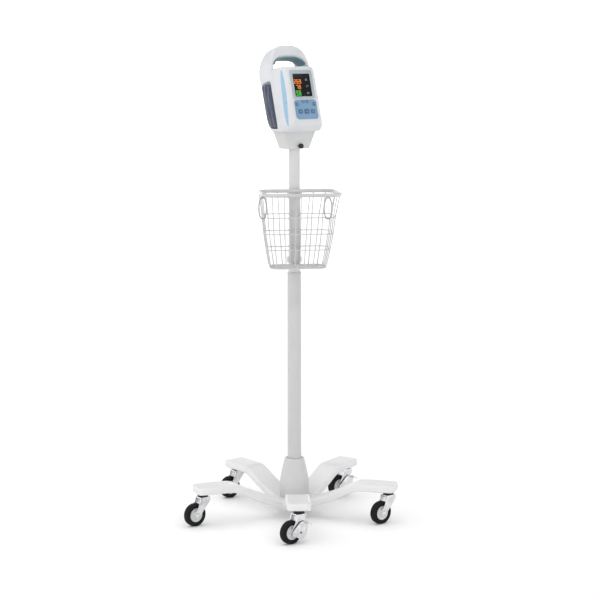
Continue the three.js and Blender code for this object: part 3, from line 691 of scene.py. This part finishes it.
def hose_hooks():
    """Upright loops of wire that hang from the rim."""
    middle = BASKET_LEVELS[0][0] - RIM_RADIUS - WIRE_RADIUS - HOOK_HALF_HEIGHT - HOOK_GAP
    for name, x, y in (("hose_hook_left", -104, -152), ("hose_hook_right", 66, -180)):
        loop = []
        for i in range(48):
            angle = 2 * math.pi * i / 48
            across = math.copysign(abs(math.sin(angle)) ** 0.75, math.sin(angle))
            loop.append((x + HOOK_HALF_WIDTH * across, y, middle + HOOK_HALF_HEIGHT * math.cos(angle)))
        hook = wires(name + "_wire", [(loop, HOOK_WIRE_RADIUS, True)], BASKET)
        finish_piece(hook, WIRE_CHROME, "stand", "chrome_wire", name)


# ---------- casters ----------

RACEWAY_PROFILE = [(6, 75), (14.5, 75), (15.6, 77), (15.2, FORK_TOP), (6, FORK_TOP)]
STEM_PROFILE = [
    (0, 70.5), (7, 70.5), (7, 72.6), (5, 72.6), (5, 79.6), (13.6, 79.6), (15, 81),
    (15, 84.4), (13.8, 85.2), (13.8, 87.4), (5, 87.4), (5, 100), (0, 100),
]
TYRE_PROFILE = both_ends([(19.3, -8.6), (24, -9.3), (28.2, -10), (30.7, -8), (WHEEL_RADIUS, -4.5)])
CORE_PROFILE = both_ends([
    (4.3, -11), (7.8, -11), (8.6, -7.2), (10, -5.6), (15.4, -5.6), (16.6, -8.2), (19, -8.8),
])
AXLE_PROFILE = both_ends([(0, -17.2), (4.6, -17.2), (6.3, -16.4), (6.3, -14.9), (3.9, -14.9)])
SPOKE_SHAPE = [(8, -7), (17, -7.6), (17, 7.6), (8, 7)]
SPOKES = 6


def axle_arc(start, end):
    """Points round the axle at the radius of a boss, between two angles in degrees."""
    angles = [math.radians(start + (end - start) * i / ARC_STEPS) for i in range(ARC_STEPS + 1)]
    return [(TRAIL + AXLE_BOSS * math.cos(a), WHEEL_RADIUS + AXLE_BOSS * math.sin(a)) for a in angles]


def fork(number, place):
    """Two arms under a crown, with the race ring on top."""
    arm = [(-15, FORK_TOP), (-15, 69), *axle_arc(205, 380), (17, 68), (15, FORK_TOP)]
    plates = [prism(f"fork_arm_{side}", arm, side * 12, side * 14.5, place, 0.5) for side in (-1, 1)]
    crown = prism("fork_crown", outline(-15, 15, 73.4, FORK_TOP, 2), -13.5, 13.5, place, 0.8)
    raceway = turned("fork_raceway", RACEWAY_PROFILE, place, 48, 0.6)
    whole = joined(f"caster_{number}_fork_skin", crown, raceway, *plates)
    finish_piece(whole, CHROME, f"caster_{number}", "chrome", f"caster_{number}_fork")


def caster_stem(number, place):
    stem = turned(f"caster_{number}_stem_skin", STEM_PROFILE, place, 48, 0.5)
    finish_piece(stem, BLACK, "stand", "caster_black", f"caster_{number}_stem")


def wheel(number, place):
    """The tyre, its spoked core and the axle."""
    axle_place = place @ AXLE
    tyre = turned(f"caster_{number}_tyre_skin", TYRE_PROFILE, axle_place, 80, 2)
    finish_piece(tyre, TYRE, f"wheel_{number}", "tyre_black", f"caster_{number}_tyre")
    core = turned("core", CORE_PROFILE, axle_place, 64, 0.8)
    spokes = [prism("spoke", SPOKE_SHAPE, -0.9, 0.9, spin, 0.4) for spin in around(axle_place, SPOKES)]
    core = joined(f"caster_{number}_core_skin", core, *spokes)
    finish_piece(core, WHEEL_CORE, f"wheel_{number}", "wheel_core", f"caster_{number}_wheel_hub")
    axle = turned(f"caster_{number}_axle_skin", AXLE_PROFILE, axle_place, 40, 0.5)
    finish_piece(axle, CHROME, f"caster_{number}", "chrome", f"caster_{number}_axle")


def brake_lever(number, place):
    """A rounded shield beside the wheel, with a foot tab at its upper leading corner."""
    shield = [(8, 60), (-10, 60), (-15, 59), (-17, 55), (-12, 30), (-9, 20), (-2, 14), (8, 12)]
    shield += axle_arc(-100, 70)
    rounded = fillet([(x, 0, z) for x, z in shield], 4, True, 3)
    plate = prism("shield", [(p.x, p.z) for p in rounded], 17.3, 19.5, place, 0.6)
    tab_shape = [(-19, 51), (-3, 60), (-4.5, 62.5), (-20.5, 53.5)]
    tab = prism("tab", tab_shape, 17.4, 34.2, place, 0.8)
    rivet_profile = [(0, -1), (2.6, -1), (2.6, 0.5), (1.6, 1.2), (0, 1.2)]
    rivet_place = place @ Matrix.Translation((8, 19.6, WHEEL_RADIUS)) @ Z_TO_BACK
    rivet = turned("rivet", rivet_profile, rivet_place, 24, 0.3)
    ribs = []
    for k in range(3):
        x, z = -14 + k * 4, 54.4 + k * 2.25
        ribs.append(prism("rib", outline(x, x + 1.2, z, z + 2, 0.5, 3), 20, 33, place, 0.2))
    lever = joined(f"caster_{number}_brake_skin", plate, tab, *ribs)
    finish_piece(lever, CHROME, f"brake_{number}", "chrome", f"caster_{number}_brake_lever")
    finish_piece(rivet, BLACK, f"brake_{number}", "chrome")
    rivet.name = f"caster_{number}_brake_rivet"


def casters():
    for number in range(1, LEGS + 1):
        place = caster_frame(number)
        caster_stem(number, place)
        fork(number, place)
        wheel(number, place)
        if number in BRAKED:
            brake_lever(number, place)


# ---------- head ----------

# rings of the housings: depth, half width, low, high, corner radius
FRONT_KEYS = [
    (0, 39, 21, 169, 9),
    (0.7, 42.5, 17.6, 172.4, 10.5),
    (2.4, 45.4, 14.8, 175.4, 12),
    (5.5, 48.4, 11.8, 178, 13),
    (10, 52.6, 8.6, 179.8, 14),
    (18, 59.2, 4.4, 181.2, 15),
    (28, 64.6, 1.4, 181.8, 16),
    (PARTING, 67, 0, 182, 16),
]
REAR_KEYS = [
    (PARTING, 67, 0, 182, 16),
    (66, 67, 0, 184, 16),
    (82, 66.5, 5, 186, 18),
    (96, 64.5, 19, 187, 20),
    (105, 60.5, 48, 184, 24),
    (111, 54.5, 84, 176, 28),
    (114, 47, 108, 166, 24),
    (115, 38, 122, 156, 14),
]


def lower_corner(radius, depth):
    """The housings' lower corners are rounder than the upper ones, away from the face."""
    return radius + 9 * min(depth / 20, 1)


def housing_ring(depth, row):
    half, low, high, radius = row
    shape = outline(-half, half, low, high, radius, 9, lower_corner(radius, depth))
    return [(x, depth, z) for x, z in shape]


def sliced(obj, point, outward):
    """obj without what lies beyond the plane, closed flat along it."""
    bm = bmesh.new()
    bm.from_mesh(obj.data)
    everything = [*bm.verts, *bm.edges, *bm.faces]
    bmesh.ops.bisect_plane(bm, geom=everything, dist=1e-6, plane_co=point, plane_no=outward, clear_outer=True)
    bmesh.ops.holes_fill(bm, edges=[e for e in bm.edges if e.is_boundary], sides=0)
    bm.to_mesh(obj.data)
    bm.free()
    return shade(obj)


def level_cut(obj):
    """The head is cut level to stand on its cradle."""
    return sliced(obj, (0, 0, CRADLE_TOP / 1000), (0, 0, -1))


def housing(name, keys, places):
    """A housing's skin as rings at the given depths."""
    rings = [housing_ring(place, row) for place, row in zip(places, eased(keys, places))]
    return lofted(name, rings, HEAD, 28)


def front_housing():
    """The front shell, with windows for the display and the keypad."""
    places = [0, 0.3, 0.7, 1.2, 1.8, 2.4, 3.4, 4.5, *np.linspace(5.5, PARTING - 1, 26)]
    places += [PARTING - 0.6, PARTING - PARTING_GAP]
    shell = housing("front_housing_skin", FRONT_KEYS, places)
    shell = level_cut(shell)
    windows = [
        prism("bezel_window", window(BEZEL, 0.35), -3, 3, HEAD, 0),
        prism("keypad_window", window(KEYPAD, 0.35, 9), -3, 3, HEAD, 0),
    ]
    shell = minus(shell, *windows)
    finish_piece(shell, SHELL, "monitor", "shell_white", "front_housing")


def arch_point(half, low, high, power, angle):
    """A point on a stretched circle that is squarer than an ellipse."""
    def reach(value):
        return math.copysign(abs(value) ** (2 / power), value)
    return half * reach(math.cos(angle)), low + (high - low) * reach(math.sin(angle))


# the handle's front and back at each height: height, near depth, far depth
HANDLE_DEPTH = [
    (HANDLE_FOOT, PARTING + 4, 102),
    (DECK, PARTING + 1.5, 103),
    (205, PARTING + 0.6, 96),
    (222, PARTING + 0.5, 87),
    (236, PARTING + 1.5, 79),
    (HANDLE_TOP, PARTING + 4, 71),
]


def bow_section(inner, outer, near, far, largest, roundness, steps):
    """A rounded section of a bow, from its inner to its outer line and from near to far."""
    thickness = math.dist(outer, inner)
    corner = min(largest, thickness * roundness)
    ring = []
    for u, y in outline(0, thickness, 0, far - near, corner, steps):
        share = u / thickness
        x = inner[0] + (outer[0] - inner[0]) * share
        z = inner[1] + (outer[1] - inner[1]) * share
        ring.append((x, near + y, z))
    return ring


def handle():
    """The carry handle: a bow over the deck, deep at its feet and slimmer at the crown."""
    rings = []
    for angle in np.linspace(0, math.pi, 61):
        outer = arch_point(66.8, HANDLE_FOOT, HANDLE_TOP, 2.9, angle)
        inner = arch_point(57, HANDLE_HOLE_FOOT, HANDLE_TOP - HANDLE_THICKNESS, 3.0, angle)
        ((near, far),) = eased(HANDLE_DEPTH, [(outer[1] + inner[1]) / 2])
        rings.append(bow_section(inner, outer, near, far, 8, 0.42, 7))
    return lofted("handle", rings, HEAD, 40)


POCKET_SIDE = [(50, 18), (84, 28), (91, 62), (91, 152), (50, 152)]
POCKET_CENTRE = Vector((70, 90, 0))
POCKET_REACH = 45  # about how far the outline lies from the centre, which turns growth into a scale


def pocket_outline(grow=0.0, radius=9.0):
    """The pocket's outline as (y, z), seen from the side."""
    points = []
    for y, z in POCKET_SIDE:
        arm = Vector((y, z, 0)) - POCKET_CENTRE
        points.append(POCKET_CENTRE + arm * (1 + grow / POCKET_REACH))
    return [(p.x, p.y) for p in fillet(points, radius, True, 6)]


def side_prism(name, shape, x0, x1):
    """An outline given as (y, z), as thick as from x = x0 to x = x1."""
    return lofted(name, [[(x, y, z) for y, z in shape] for x in (x0, x1)], HEAD)


SCREW_PLACES = ((-44, 66), (44, 40), (-44, 150), (44, 150))
SCREW_PROFILE = [(0, -2), (2.7, -2), (2.7, -0.1), (2, 0.25), (0, 0.3)]
SCREW_TURN = 0.4


def housing_screws(shell):
    """Four sunk cross-head screws, set into the back wherever it lies at those places."""
    towards_face = HEAD.to_3x3() @ Vector((0, -1, 0))
    slot = outline(-1.7, 1.7, -0.35, 0.35, 0.2, 3)
    for number, (x, z) in enumerate(SCREW_PLACES, 1):
        hit, point, _, _ = shell.ray_cast(HEAD @ Vector((x, 200, z)), towards_face.normalized())
        if not hit:
            continue
        depth = (HEAD.inverted() @ point).y
        place = HEAD @ Matrix.Translation((x, depth, z)) @ Z_TO_BACK
        collar = tube("collar", 2.9, 3.9, -2, 0.45, place, 32, 0.3)
        finish_piece(collar, SHELL, "monitor", "shell_white")
        collar.name = f"housing_screw_collar_{number}"
        head = turned("head", SCREW_PROFILE, place, 32, 0.3)
        slots = []
        for turn in (SCREW_TURN, SCREW_TURN + math.pi / 2):
            slot_place = place @ Matrix.Rotation(turn, 4, "Z") @ Z_TO_FRONT
            slots.append(prism("slot", slot, -0.9, 0.9, slot_place, 0))
        head = minus(head, *slots)
        finish_piece(head, WIRE_CHROME, "monitor", "chrome_wire")
        head.name = f"housing_screw_{number}"


def rear_housing():
    """The rear shell and its handle, with the cuff's pocket and a groove round the battery door."""
    places = [PARTING + PARTING_GAP, *np.linspace(PARTING + 1, 112, 42), 112.8, 113.5, 114, 114.4, 114.7, 115]
    body = housing("body", REAR_KEYS, places)
    shell = joined("rear_housing_skin", body, handle())
    shell = remeshed(shell, 1.5, 6)
    shell = level_cut(shell)
    parting_point = HEAD @ Vector((0, PARTING + PARTING_GAP, 90))
    shell = sliced(shell, parting_point, HEAD.to_3x3() @ Vector((0, -1, 0)))
    pocket = side_prism("pocket", pocket_outline(), -90, POCKET_FLOOR)
    groove = prism("door_groove", outline(-30, 22, 84, 150, 3), 100, 130, HEAD, 0)
    core = prism("door_core", outline(-29.4, 21.4, 84.6, 149.4, 2.6), 90, 140, HEAD, 0)
    groove = minus(groove, core)
    shell = minus(shell, pocket, groove)
    finish_piece(shell, SHELL, "monitor", "shell_white", "rear_housing", "battery_door")
    housing_screws(shell)
    lining = side_prism("pocket_lining", pocket_outline(-0.6), POCKET_FLOOR - 0.8, POCKET_FLOOR + 1)
    finish_piece(lining, SHELL, "monitor", "shell_white")


def side_x(depth, height):
    """The half width of the front housing's outside at a depth and a height."""
    ((half, low, high, radius),) = eased(FRONT_KEYS, [depth])
    upper = height > (low + high) / 2
    size = radius if upper else lower_corner(radius, depth)
    into = max(height - (high - size) if upper else low + size - height, 0)
    return half - size + math.sqrt(max(size * size - into * into, 0))


# a side trim's middle line: share of its length, and depth
TRIM_LINE = [(0, 15.5), (0.25, 15), (0.5, 13), (0.75, 12), (1, 11)]
TRIM_START = 17
TRIM_LENGTH = 154
TRIM_LIFT = 0.55  # of a trim's middle, above the housing's side
TRIM_SUNK = -1.2  # of a trim's underside, which lies in the housing


def side_trims():
    """Blue inlays in the flared sides, wide in the middle and narrow at the ends."""
    for side, name in ((-1, "side_trim_left"), (1, "side_trim_right")):
        rings = []
        for share in np.linspace(0, 1, 49):
            ((centre,),) = eased(TRIM_LINE, [share])
            width = 4.4 * max(math.sin(math.pi * share), 0) ** 0.5 + 0.25
            height = TRIM_START + share * TRIM_LENGTH
            ring = []
            for lift, steps in ((TRIM_LIFT, np.linspace(-1, 1, 9)), (TRIM_SUNK, np.linspace(1, -1, 9))):
                for across in steps:
                    depth = centre + across * width
                    rise = lift - 0.45 * across**4 if lift > 0 else lift
                    ring.append((side * (side_x(depth, height) + rise), depth, height))
            rings.append(ring)
        trim = lofted(name + "_inlay", rings, HEAD, 50)
        finish_piece(trim, TRIM, "monitor", "trim_blue", name)


def handle_grip():
    """The soft strip under the handle."""
    rings = []
    for angle in np.linspace(0.16 * math.pi, 0.84 * math.pi, 49):
        upper = arch_point(57.2, HANDLE_HOLE_FOOT, HANDLE_TOP - 33.8, 3.0, angle)
        under = arch_point(54.6, HANDLE_HOLE_FOOT, HANDLE_TOP - 36.6, 3.0, angle)
        rings.append(bow_section(under, upper, PARTING + 1.5, 76, 1.2, 0.4, 4))
    grip = lofted("handle_grip_strip", rings, HEAD, 40)
    finish_piece(grip, GRIP, "monitor", "grip_teal", "handle_grip")


def display():
    """The screen's frame and its glass."""
    rim = prism("bezel", window(BEZEL), -0.8, 2.9, HEAD, 0.7)
    opening = prism("opening", window(SCREEN, 0, 2.5), -5, 6, HEAD, 0)
    rim = minus(rim, opening)
    finish_piece(rim, BEZEL_PLASTIC, "monitor", "display_bezel", "display_frame")
    glass = prism("lcd_glass", window(SCREEN, -0.1, 2.3), 0.5, 2.6, HEAD, 0.2)
    finish_piece(glass, GLASS, "monitor", "screen_black", "lcd_panel")


# the segments that a digit lights: a to f go clockwise from the top, and g is the middle one
SEGMENTS = {2: "abged", 6: "afgedc", 7: "abc", 8: "abcdefg", 9: "abcdfg"}
DIGIT_PITCH = 1.25  # from one digit to the next, in widths


def digit(value, x, z, width, height, stroke):
    """The lit segments of a digit, as prisms just in front of the glass."""
    middle = height / 2
    bars = {
        "a": (0, width, height - stroke, height),
        "g": (0, width, middle - stroke / 2, middle + stroke / 2),
        "d": (0, width, 0, stroke),
        "b": (width - stroke, width, middle, height),
        "c": (width - stroke, width, 0, middle),
        "f": (0, stroke, middle, height),
        "e": (0, stroke, 0, middle),
    }
    made = []
    for key in SEGMENTS[value]:
        x0, x1, z0, z1 = bars[key]
        shape = outline(x + x0, x + x1, z + z0, z + z1, stroke * 0.25, 3)
        made.append(prism("segment", shape, 0.38, 0.6, HEAD, 0))
    return made


def readings():
    """Made-up numbers: name, figures, x, z, width, height, stroke and material."""
    rows = [
        ("reading_upper", "269", -25.5, 129.5, 6.6, 12, 2.0, ORANGE),
        ("reading_lower", "78", -20.5, 115, 6.6, 11.5, 2.0, ORANGE),
        ("reading_pulse", "98", -24.5, 96.5, 7.4, 15, 2.6, GREEN),
        ("reading_small", "66", 12, 138, 3, 5, 0.7, GREY),
        ("reading_tiny", "27", 12, 120, 3, 5, 0.7, GREY),
        ("reading_last", "82", 12, 101, 3, 5, 0.7, GREY),
    ]
    for name, text, x, z, width, height, stroke, material in rows:
        made = []
        for place, figure in enumerate(text):
            made += digit(int(figure), x + place * width * DIGIT_PITCH, z, width, height, stroke)
        finish_piece(joined(name, *made), material, "monitor", "screen_black")


def keypad():
    plate = prism("keypad_plate", window(KEYPAD, 0, 9), -0.6, 2.9, HEAD, 0.8)
    finish_piece(plate, KEYS, "monitor", "keypad_blue", "keypad_panel")


# each button on the face: x, z, half width, half height
BUTTONS = {
    "button_up": (7, 80, 5, 3.6),
    "button_down": (-7, 80, 5, 3.6),
    "button_power": (-28, 73, 5, 5),
    "button_alarm_silence": (28, 73, 5, 5),
    "button_mode": (-20, 53, 7, 6),
    "button_start": (0, 53, 8, 7),
    "button_memory": (20, 53, 7, 6),
}
# the rings of a domed cap: depth, and how far each lies inside the button's edge
CAP_RINGS = ((-0.4, 0), (-1.3, 0.1), (-1.9, 0.6), (-2.2, 1.6), (-2.35, 3.0))


def buttons():
    """Domed caps, with a small raised mark on each."""
    for name, (x, z, half, tall) in BUTTONS.items():
        rings = []
        for y, inset in CAP_RINGS:
            corner = max(3.2 - inset * 0.6, 0.4)
            ring = outline(x - half + inset, x + half - inset, z - tall + inset, z + tall - inset, corner, 6)
            rings.append([(a, y, b) for a, b in ring])
        cap = lofted(name + "_cap", rings, HEAD, 40)
        finish_piece(cap, BUTTON, name, "button_blue", name)
        bar = outline(x - 1.6, x + 1.6, z - 0.5, z + 0.5, 0.4, 4)
        mark = prism(name + "_mark", bar, -2.5, -2.2, HEAD, 0.1)
        finish_piece(mark, PRINT, name, "button_blue")


PORT_PROFILE = [
    (0, 2), (11, 2), (11, 8), (9, 9.5), (8, 12), (6.2, 13), (6.8, 15),
    (6, 16.5), (6.6, 18), (5.4, 19), (3, 19), (3, 6), (0, 6),
]


def hose_port():
    """A barbed nipple on the back, where the cuff's hose would go."""
    place = HEAD @ Matrix.Translation((40, 92, 66)) @ Z_TO_BACK
    port = turned("hose_port_skin", PORT_PROFILE, place, 48, 0.5)
    finish_piece(port, BEZEL_PLASTIC, "monitor", "display_bezel", "hose_port")


# ---------- cuff ----------

# the rings of the unfilled cuff: x, and how far each is grown from the pocket's outline
CUFF_RINGS = ((POCKET_FLOOR - 1.2, -5), (POCKET_FLOOR - 3, -2.4), (-68, -2.4), (-70.5, -4), (-71.5, -7))
CUFF_CORNER = 8
CUFF_CREASE = 60
CLOTH_VOXEL = 0.004  # in metres
CLOTH_PRESSURE = 4
CLOTH_FRAMES = 20
FOLD_START = 62  # the folds fade in outwards of this
FOLD_FADE = 8
# how far the filling may move the cloth in its pocket: x, y, z
FILL_LOW = (-4.5, -1.2, -1.2)
FILL_HIGH = (0.5, 1.2, 1.2)


def cuff_layers():
    """The folded cuff before it is filled: a rounded slab that sits in the pocket."""
    rings = []
    for x, grow in CUFF_RINGS:
        rings.append([(x, y, z) for y, z in pocket_outline(grow, CUFF_CORNER)])
    return lofted("cuff_folded", rings, HEAD, CUFF_CREASE)


def inflate(obj):
    """Fills the cuff by cloth simulation, and keeps it inside its pocket."""
    remesh = obj.modifiers.new("remesh", "REMESH")
    remesh.mode = "VOXEL"
    remesh.voxel_size = CLOTH_VOXEL
    applied(obj, CUFF_CREASE)
    start = np.array([v.co for v in obj.data.vertices])
    cloth = obj.modifiers.new("cloth", "CLOTH")
    cloth.settings.use_pressure = True
    cloth.settings.uniform_pressure_force = CLOTH_PRESSURE
    cloth.settings.effector_weights.gravity = 0
    cloth.settings.quality = 6
    for number in range(1, CLOTH_FRAMES + 1):
        bpy.context.scene.frame_set(number)
    applied(obj, CUFF_CREASE)
    bpy.context.scene.frame_set(1)
    inverse = HEAD.inverted()
    for vertex, before in zip(obj.data.vertices, start):
        rest = inverse @ Vector(before)
        moved = inverse @ vertex.co
        step = moved - rest
        for axis in range(3):
            step[axis] = min(max(step[axis], FILL_LOW[axis]), FILL_HIGH[axis])
        vertex.co = HEAD @ (rest + step)
    return obj


def cuff():
    """The stowed cuff, its folds running down its outside, and a wavy lavender-grey band along its back and
    top edges, painted shade of the pocket's rear wall and lip.
    """
    pad = cuff_layers()
    pad = inflate(pad)
    subdivide = pad.modifiers.new("subdivide", "SUBSURF")
    subdivide.levels = 1
    pad = applied(pad, CUFF_CREASE)
    inverse = HEAD.inverted()
    for vertex in pad.data.vertices:
        local = inverse @ vertex.co
        out = min(max((-local.x - FOLD_START) / FOLD_FADE, 0), 1)
        folds = 1.1 * math.sin(local.y * 0.42 + 0.8 * math.sin(local.z * 0.05))
        dents = 0.5 * math.sin(local.z * 0.11 + local.y * 0.2)
        local.x += out * (folds + dents)
        vertex.co = HEAD @ local
    shade(pad, CUFF_CREASE)
    finish_piece(pad, CUFF_CLOTH, "cuff", "cuff_fabric", "cuff")
    # a wavy lavender-grey band on the cuff's back and top edges: painted shade of the pocket's rear wall and
    # lip
    rim = [p for p in pocket_outline(-3.2, CUFF_CORNER) if p[0] > 76 or p[1] > 140]
    rim = sorted(rim, key=lambda p: math.atan2(p[1] - 90, p[0] - 55))
    edge = [(-67.5 + 0.7 * math.sin(z * 0.12), y, z) for y, z in rim]
    shade_band = wires("pocket_wall_shade_band", [(fillet(edge, 4), 2.4, False)], HEAD)
    finish_piece(shade_band, POCKET_WALL_SHADE, "cuff", "cuff_fabric")


# ---------- cradle ----------

# the rings of the cradle: height, half width, half depth, corner radius
CRADLE_KEYS = [
    (CRADLE_BOTTOM, 38, 23, 9),
    (1028, 39.5, 24, 10),
    (1038, 43, 25.8, 11),
    (1050, 47.5, 28, 12),
    (CRADLE_TOP - CRADLE_GAP, 54, 33, 13),
]
KNOB_PROFILE = [(0, 20), (3, 20), (3, 27), (5.6, 27), (6.6, 28.4), (6.6, 35), (5.6, 36.8), (0, 37)]
KNOB_RIDGES = 12


def cradle():
    """The block that holds the head on the column, and its clamp screw."""
    places = np.linspace(CRADLE_BOTTOM, CRADLE_TOP - CRADLE_GAP, 24)
    rings = []
    for place, (half_x, half_y, radius) in zip(places, eased(CRADLE_KEYS, places)):
        rings.append([(x, y, place) for x, y in outline(-half_x, half_x, -half_y, half_y, radius, 9)])
    block = lofted("cradle_skin", rings, CRADLE, 40)
    block = bevelled(block, 1.2)
    finish_piece(block, CRADLE_PLASTIC, "monitor", "bracket_grey", "head_bracket")
    place = CRADLE @ Matrix.Translation((0, 0, THUMBSCREW_HEIGHT)) @ Z_TO_FRONT
    knob = turned("knob", KNOB_PROFILE, place, 48, 0.8)
    ridge = outline(6, 6.9, 28.8, 34.8, 0.4, 3)
    ridges = [prism("ridge", ridge, -0.6, 0.6, spin, 0.2) for spin in around(place, KNOB_RIDGES)]
    knob = joined("thumbscrew_knob", knob, *ridges)
    finish_piece(knob, BLACK, "thumbscrew", "knob_black", "bracket_thumbscrew")


# ---------- pieces that the housings hide ----------


def hidden_pieces():
    """The pieces inside the head keep their CAD shapes."""
    for name, material in (("main_board", KEYS), ("pump", BLACK), ("battery", BLACK)):
        node = frame["nodes"][name]
        node.data.materials.clear()
        node.data.materials.append(material)


# ---------- studio, in metres ----------

FLOOR_HALF = 13
BACKDROP_RADIUS = 12
BACKDROP_HEIGHT = 3.6
SKY_STRENGTH = 0.16
SUN_STRENGTH = 2.9
SUN_SPREAD = math.radians(125)
SUN_DIRECTION = Vector((0.22, 0.3, -1))


def studio():
    """A pale floor and round backdrop, under one broad soft light."""
    bpy.context.scene.view_settings.view_transform = "Standard"
    world = bpy.data.worlds.new("studio")
    bpy.context.scene.world = world
    world.use_nodes = True
    fill(world.node_tree.nodes["Background"], {"Color": (1, 1, 1, 1), "Strength": SKY_STRENGTH})
    corners = [(x * FLOOR_HALF, y * FLOOR_HALF, 0) for x, y in ((-1, -1), (1, -1), (1, 1), (-1, 1))]
    floor = piece("floor", corners, [(0, 1, 2, 3)], Matrix.Identity(4))
    floor.data.materials.append(moulded("floor_paint", "F8F8F8", "F7F7F7", 0.7, grain=3, depth=0.0))
    angles = np.linspace(0, 2 * math.pi, 64, endpoint=False)
    circle = [(BACKDROP_RADIUS * math.cos(a), BACKDROP_RADIUS * math.sin(a)) for a in angles]
    rings = [[(x, y, z) for x, y in circle] for z in (0, BACKDROP_HEIGHT)]
    vertices, faces = bridged(rings, caps=False)
    wall = piece("backdrop", vertices, faces, Matrix.Identity(4), 60)
    wall.data.materials.append(glowing("backdrop_paper", "FFFFFF", 1.0))
    data = bpy.data.lights.new("key_light", "SUN")
    data.angle = SUN_SPREAD
    data.energy = SUN_STRENGTH
    light = bpy.data.objects.new("key_light", data)
    light.rotation_euler = SUN_DIRECTION.to_track_quat("-Z", "Y").to_euler()
    bpy.context.scene.collection.objects.link(light)


make_camera()
studio()
base_casting()
column_pieces()
basket()
hose_hooks()
casters()
front_housing()
rear_housing()
side_trims()
handle_grip()
display()
readings()
keypad()
buttons()
hose_port()
cuff()
cradle()
hidden_pieces()
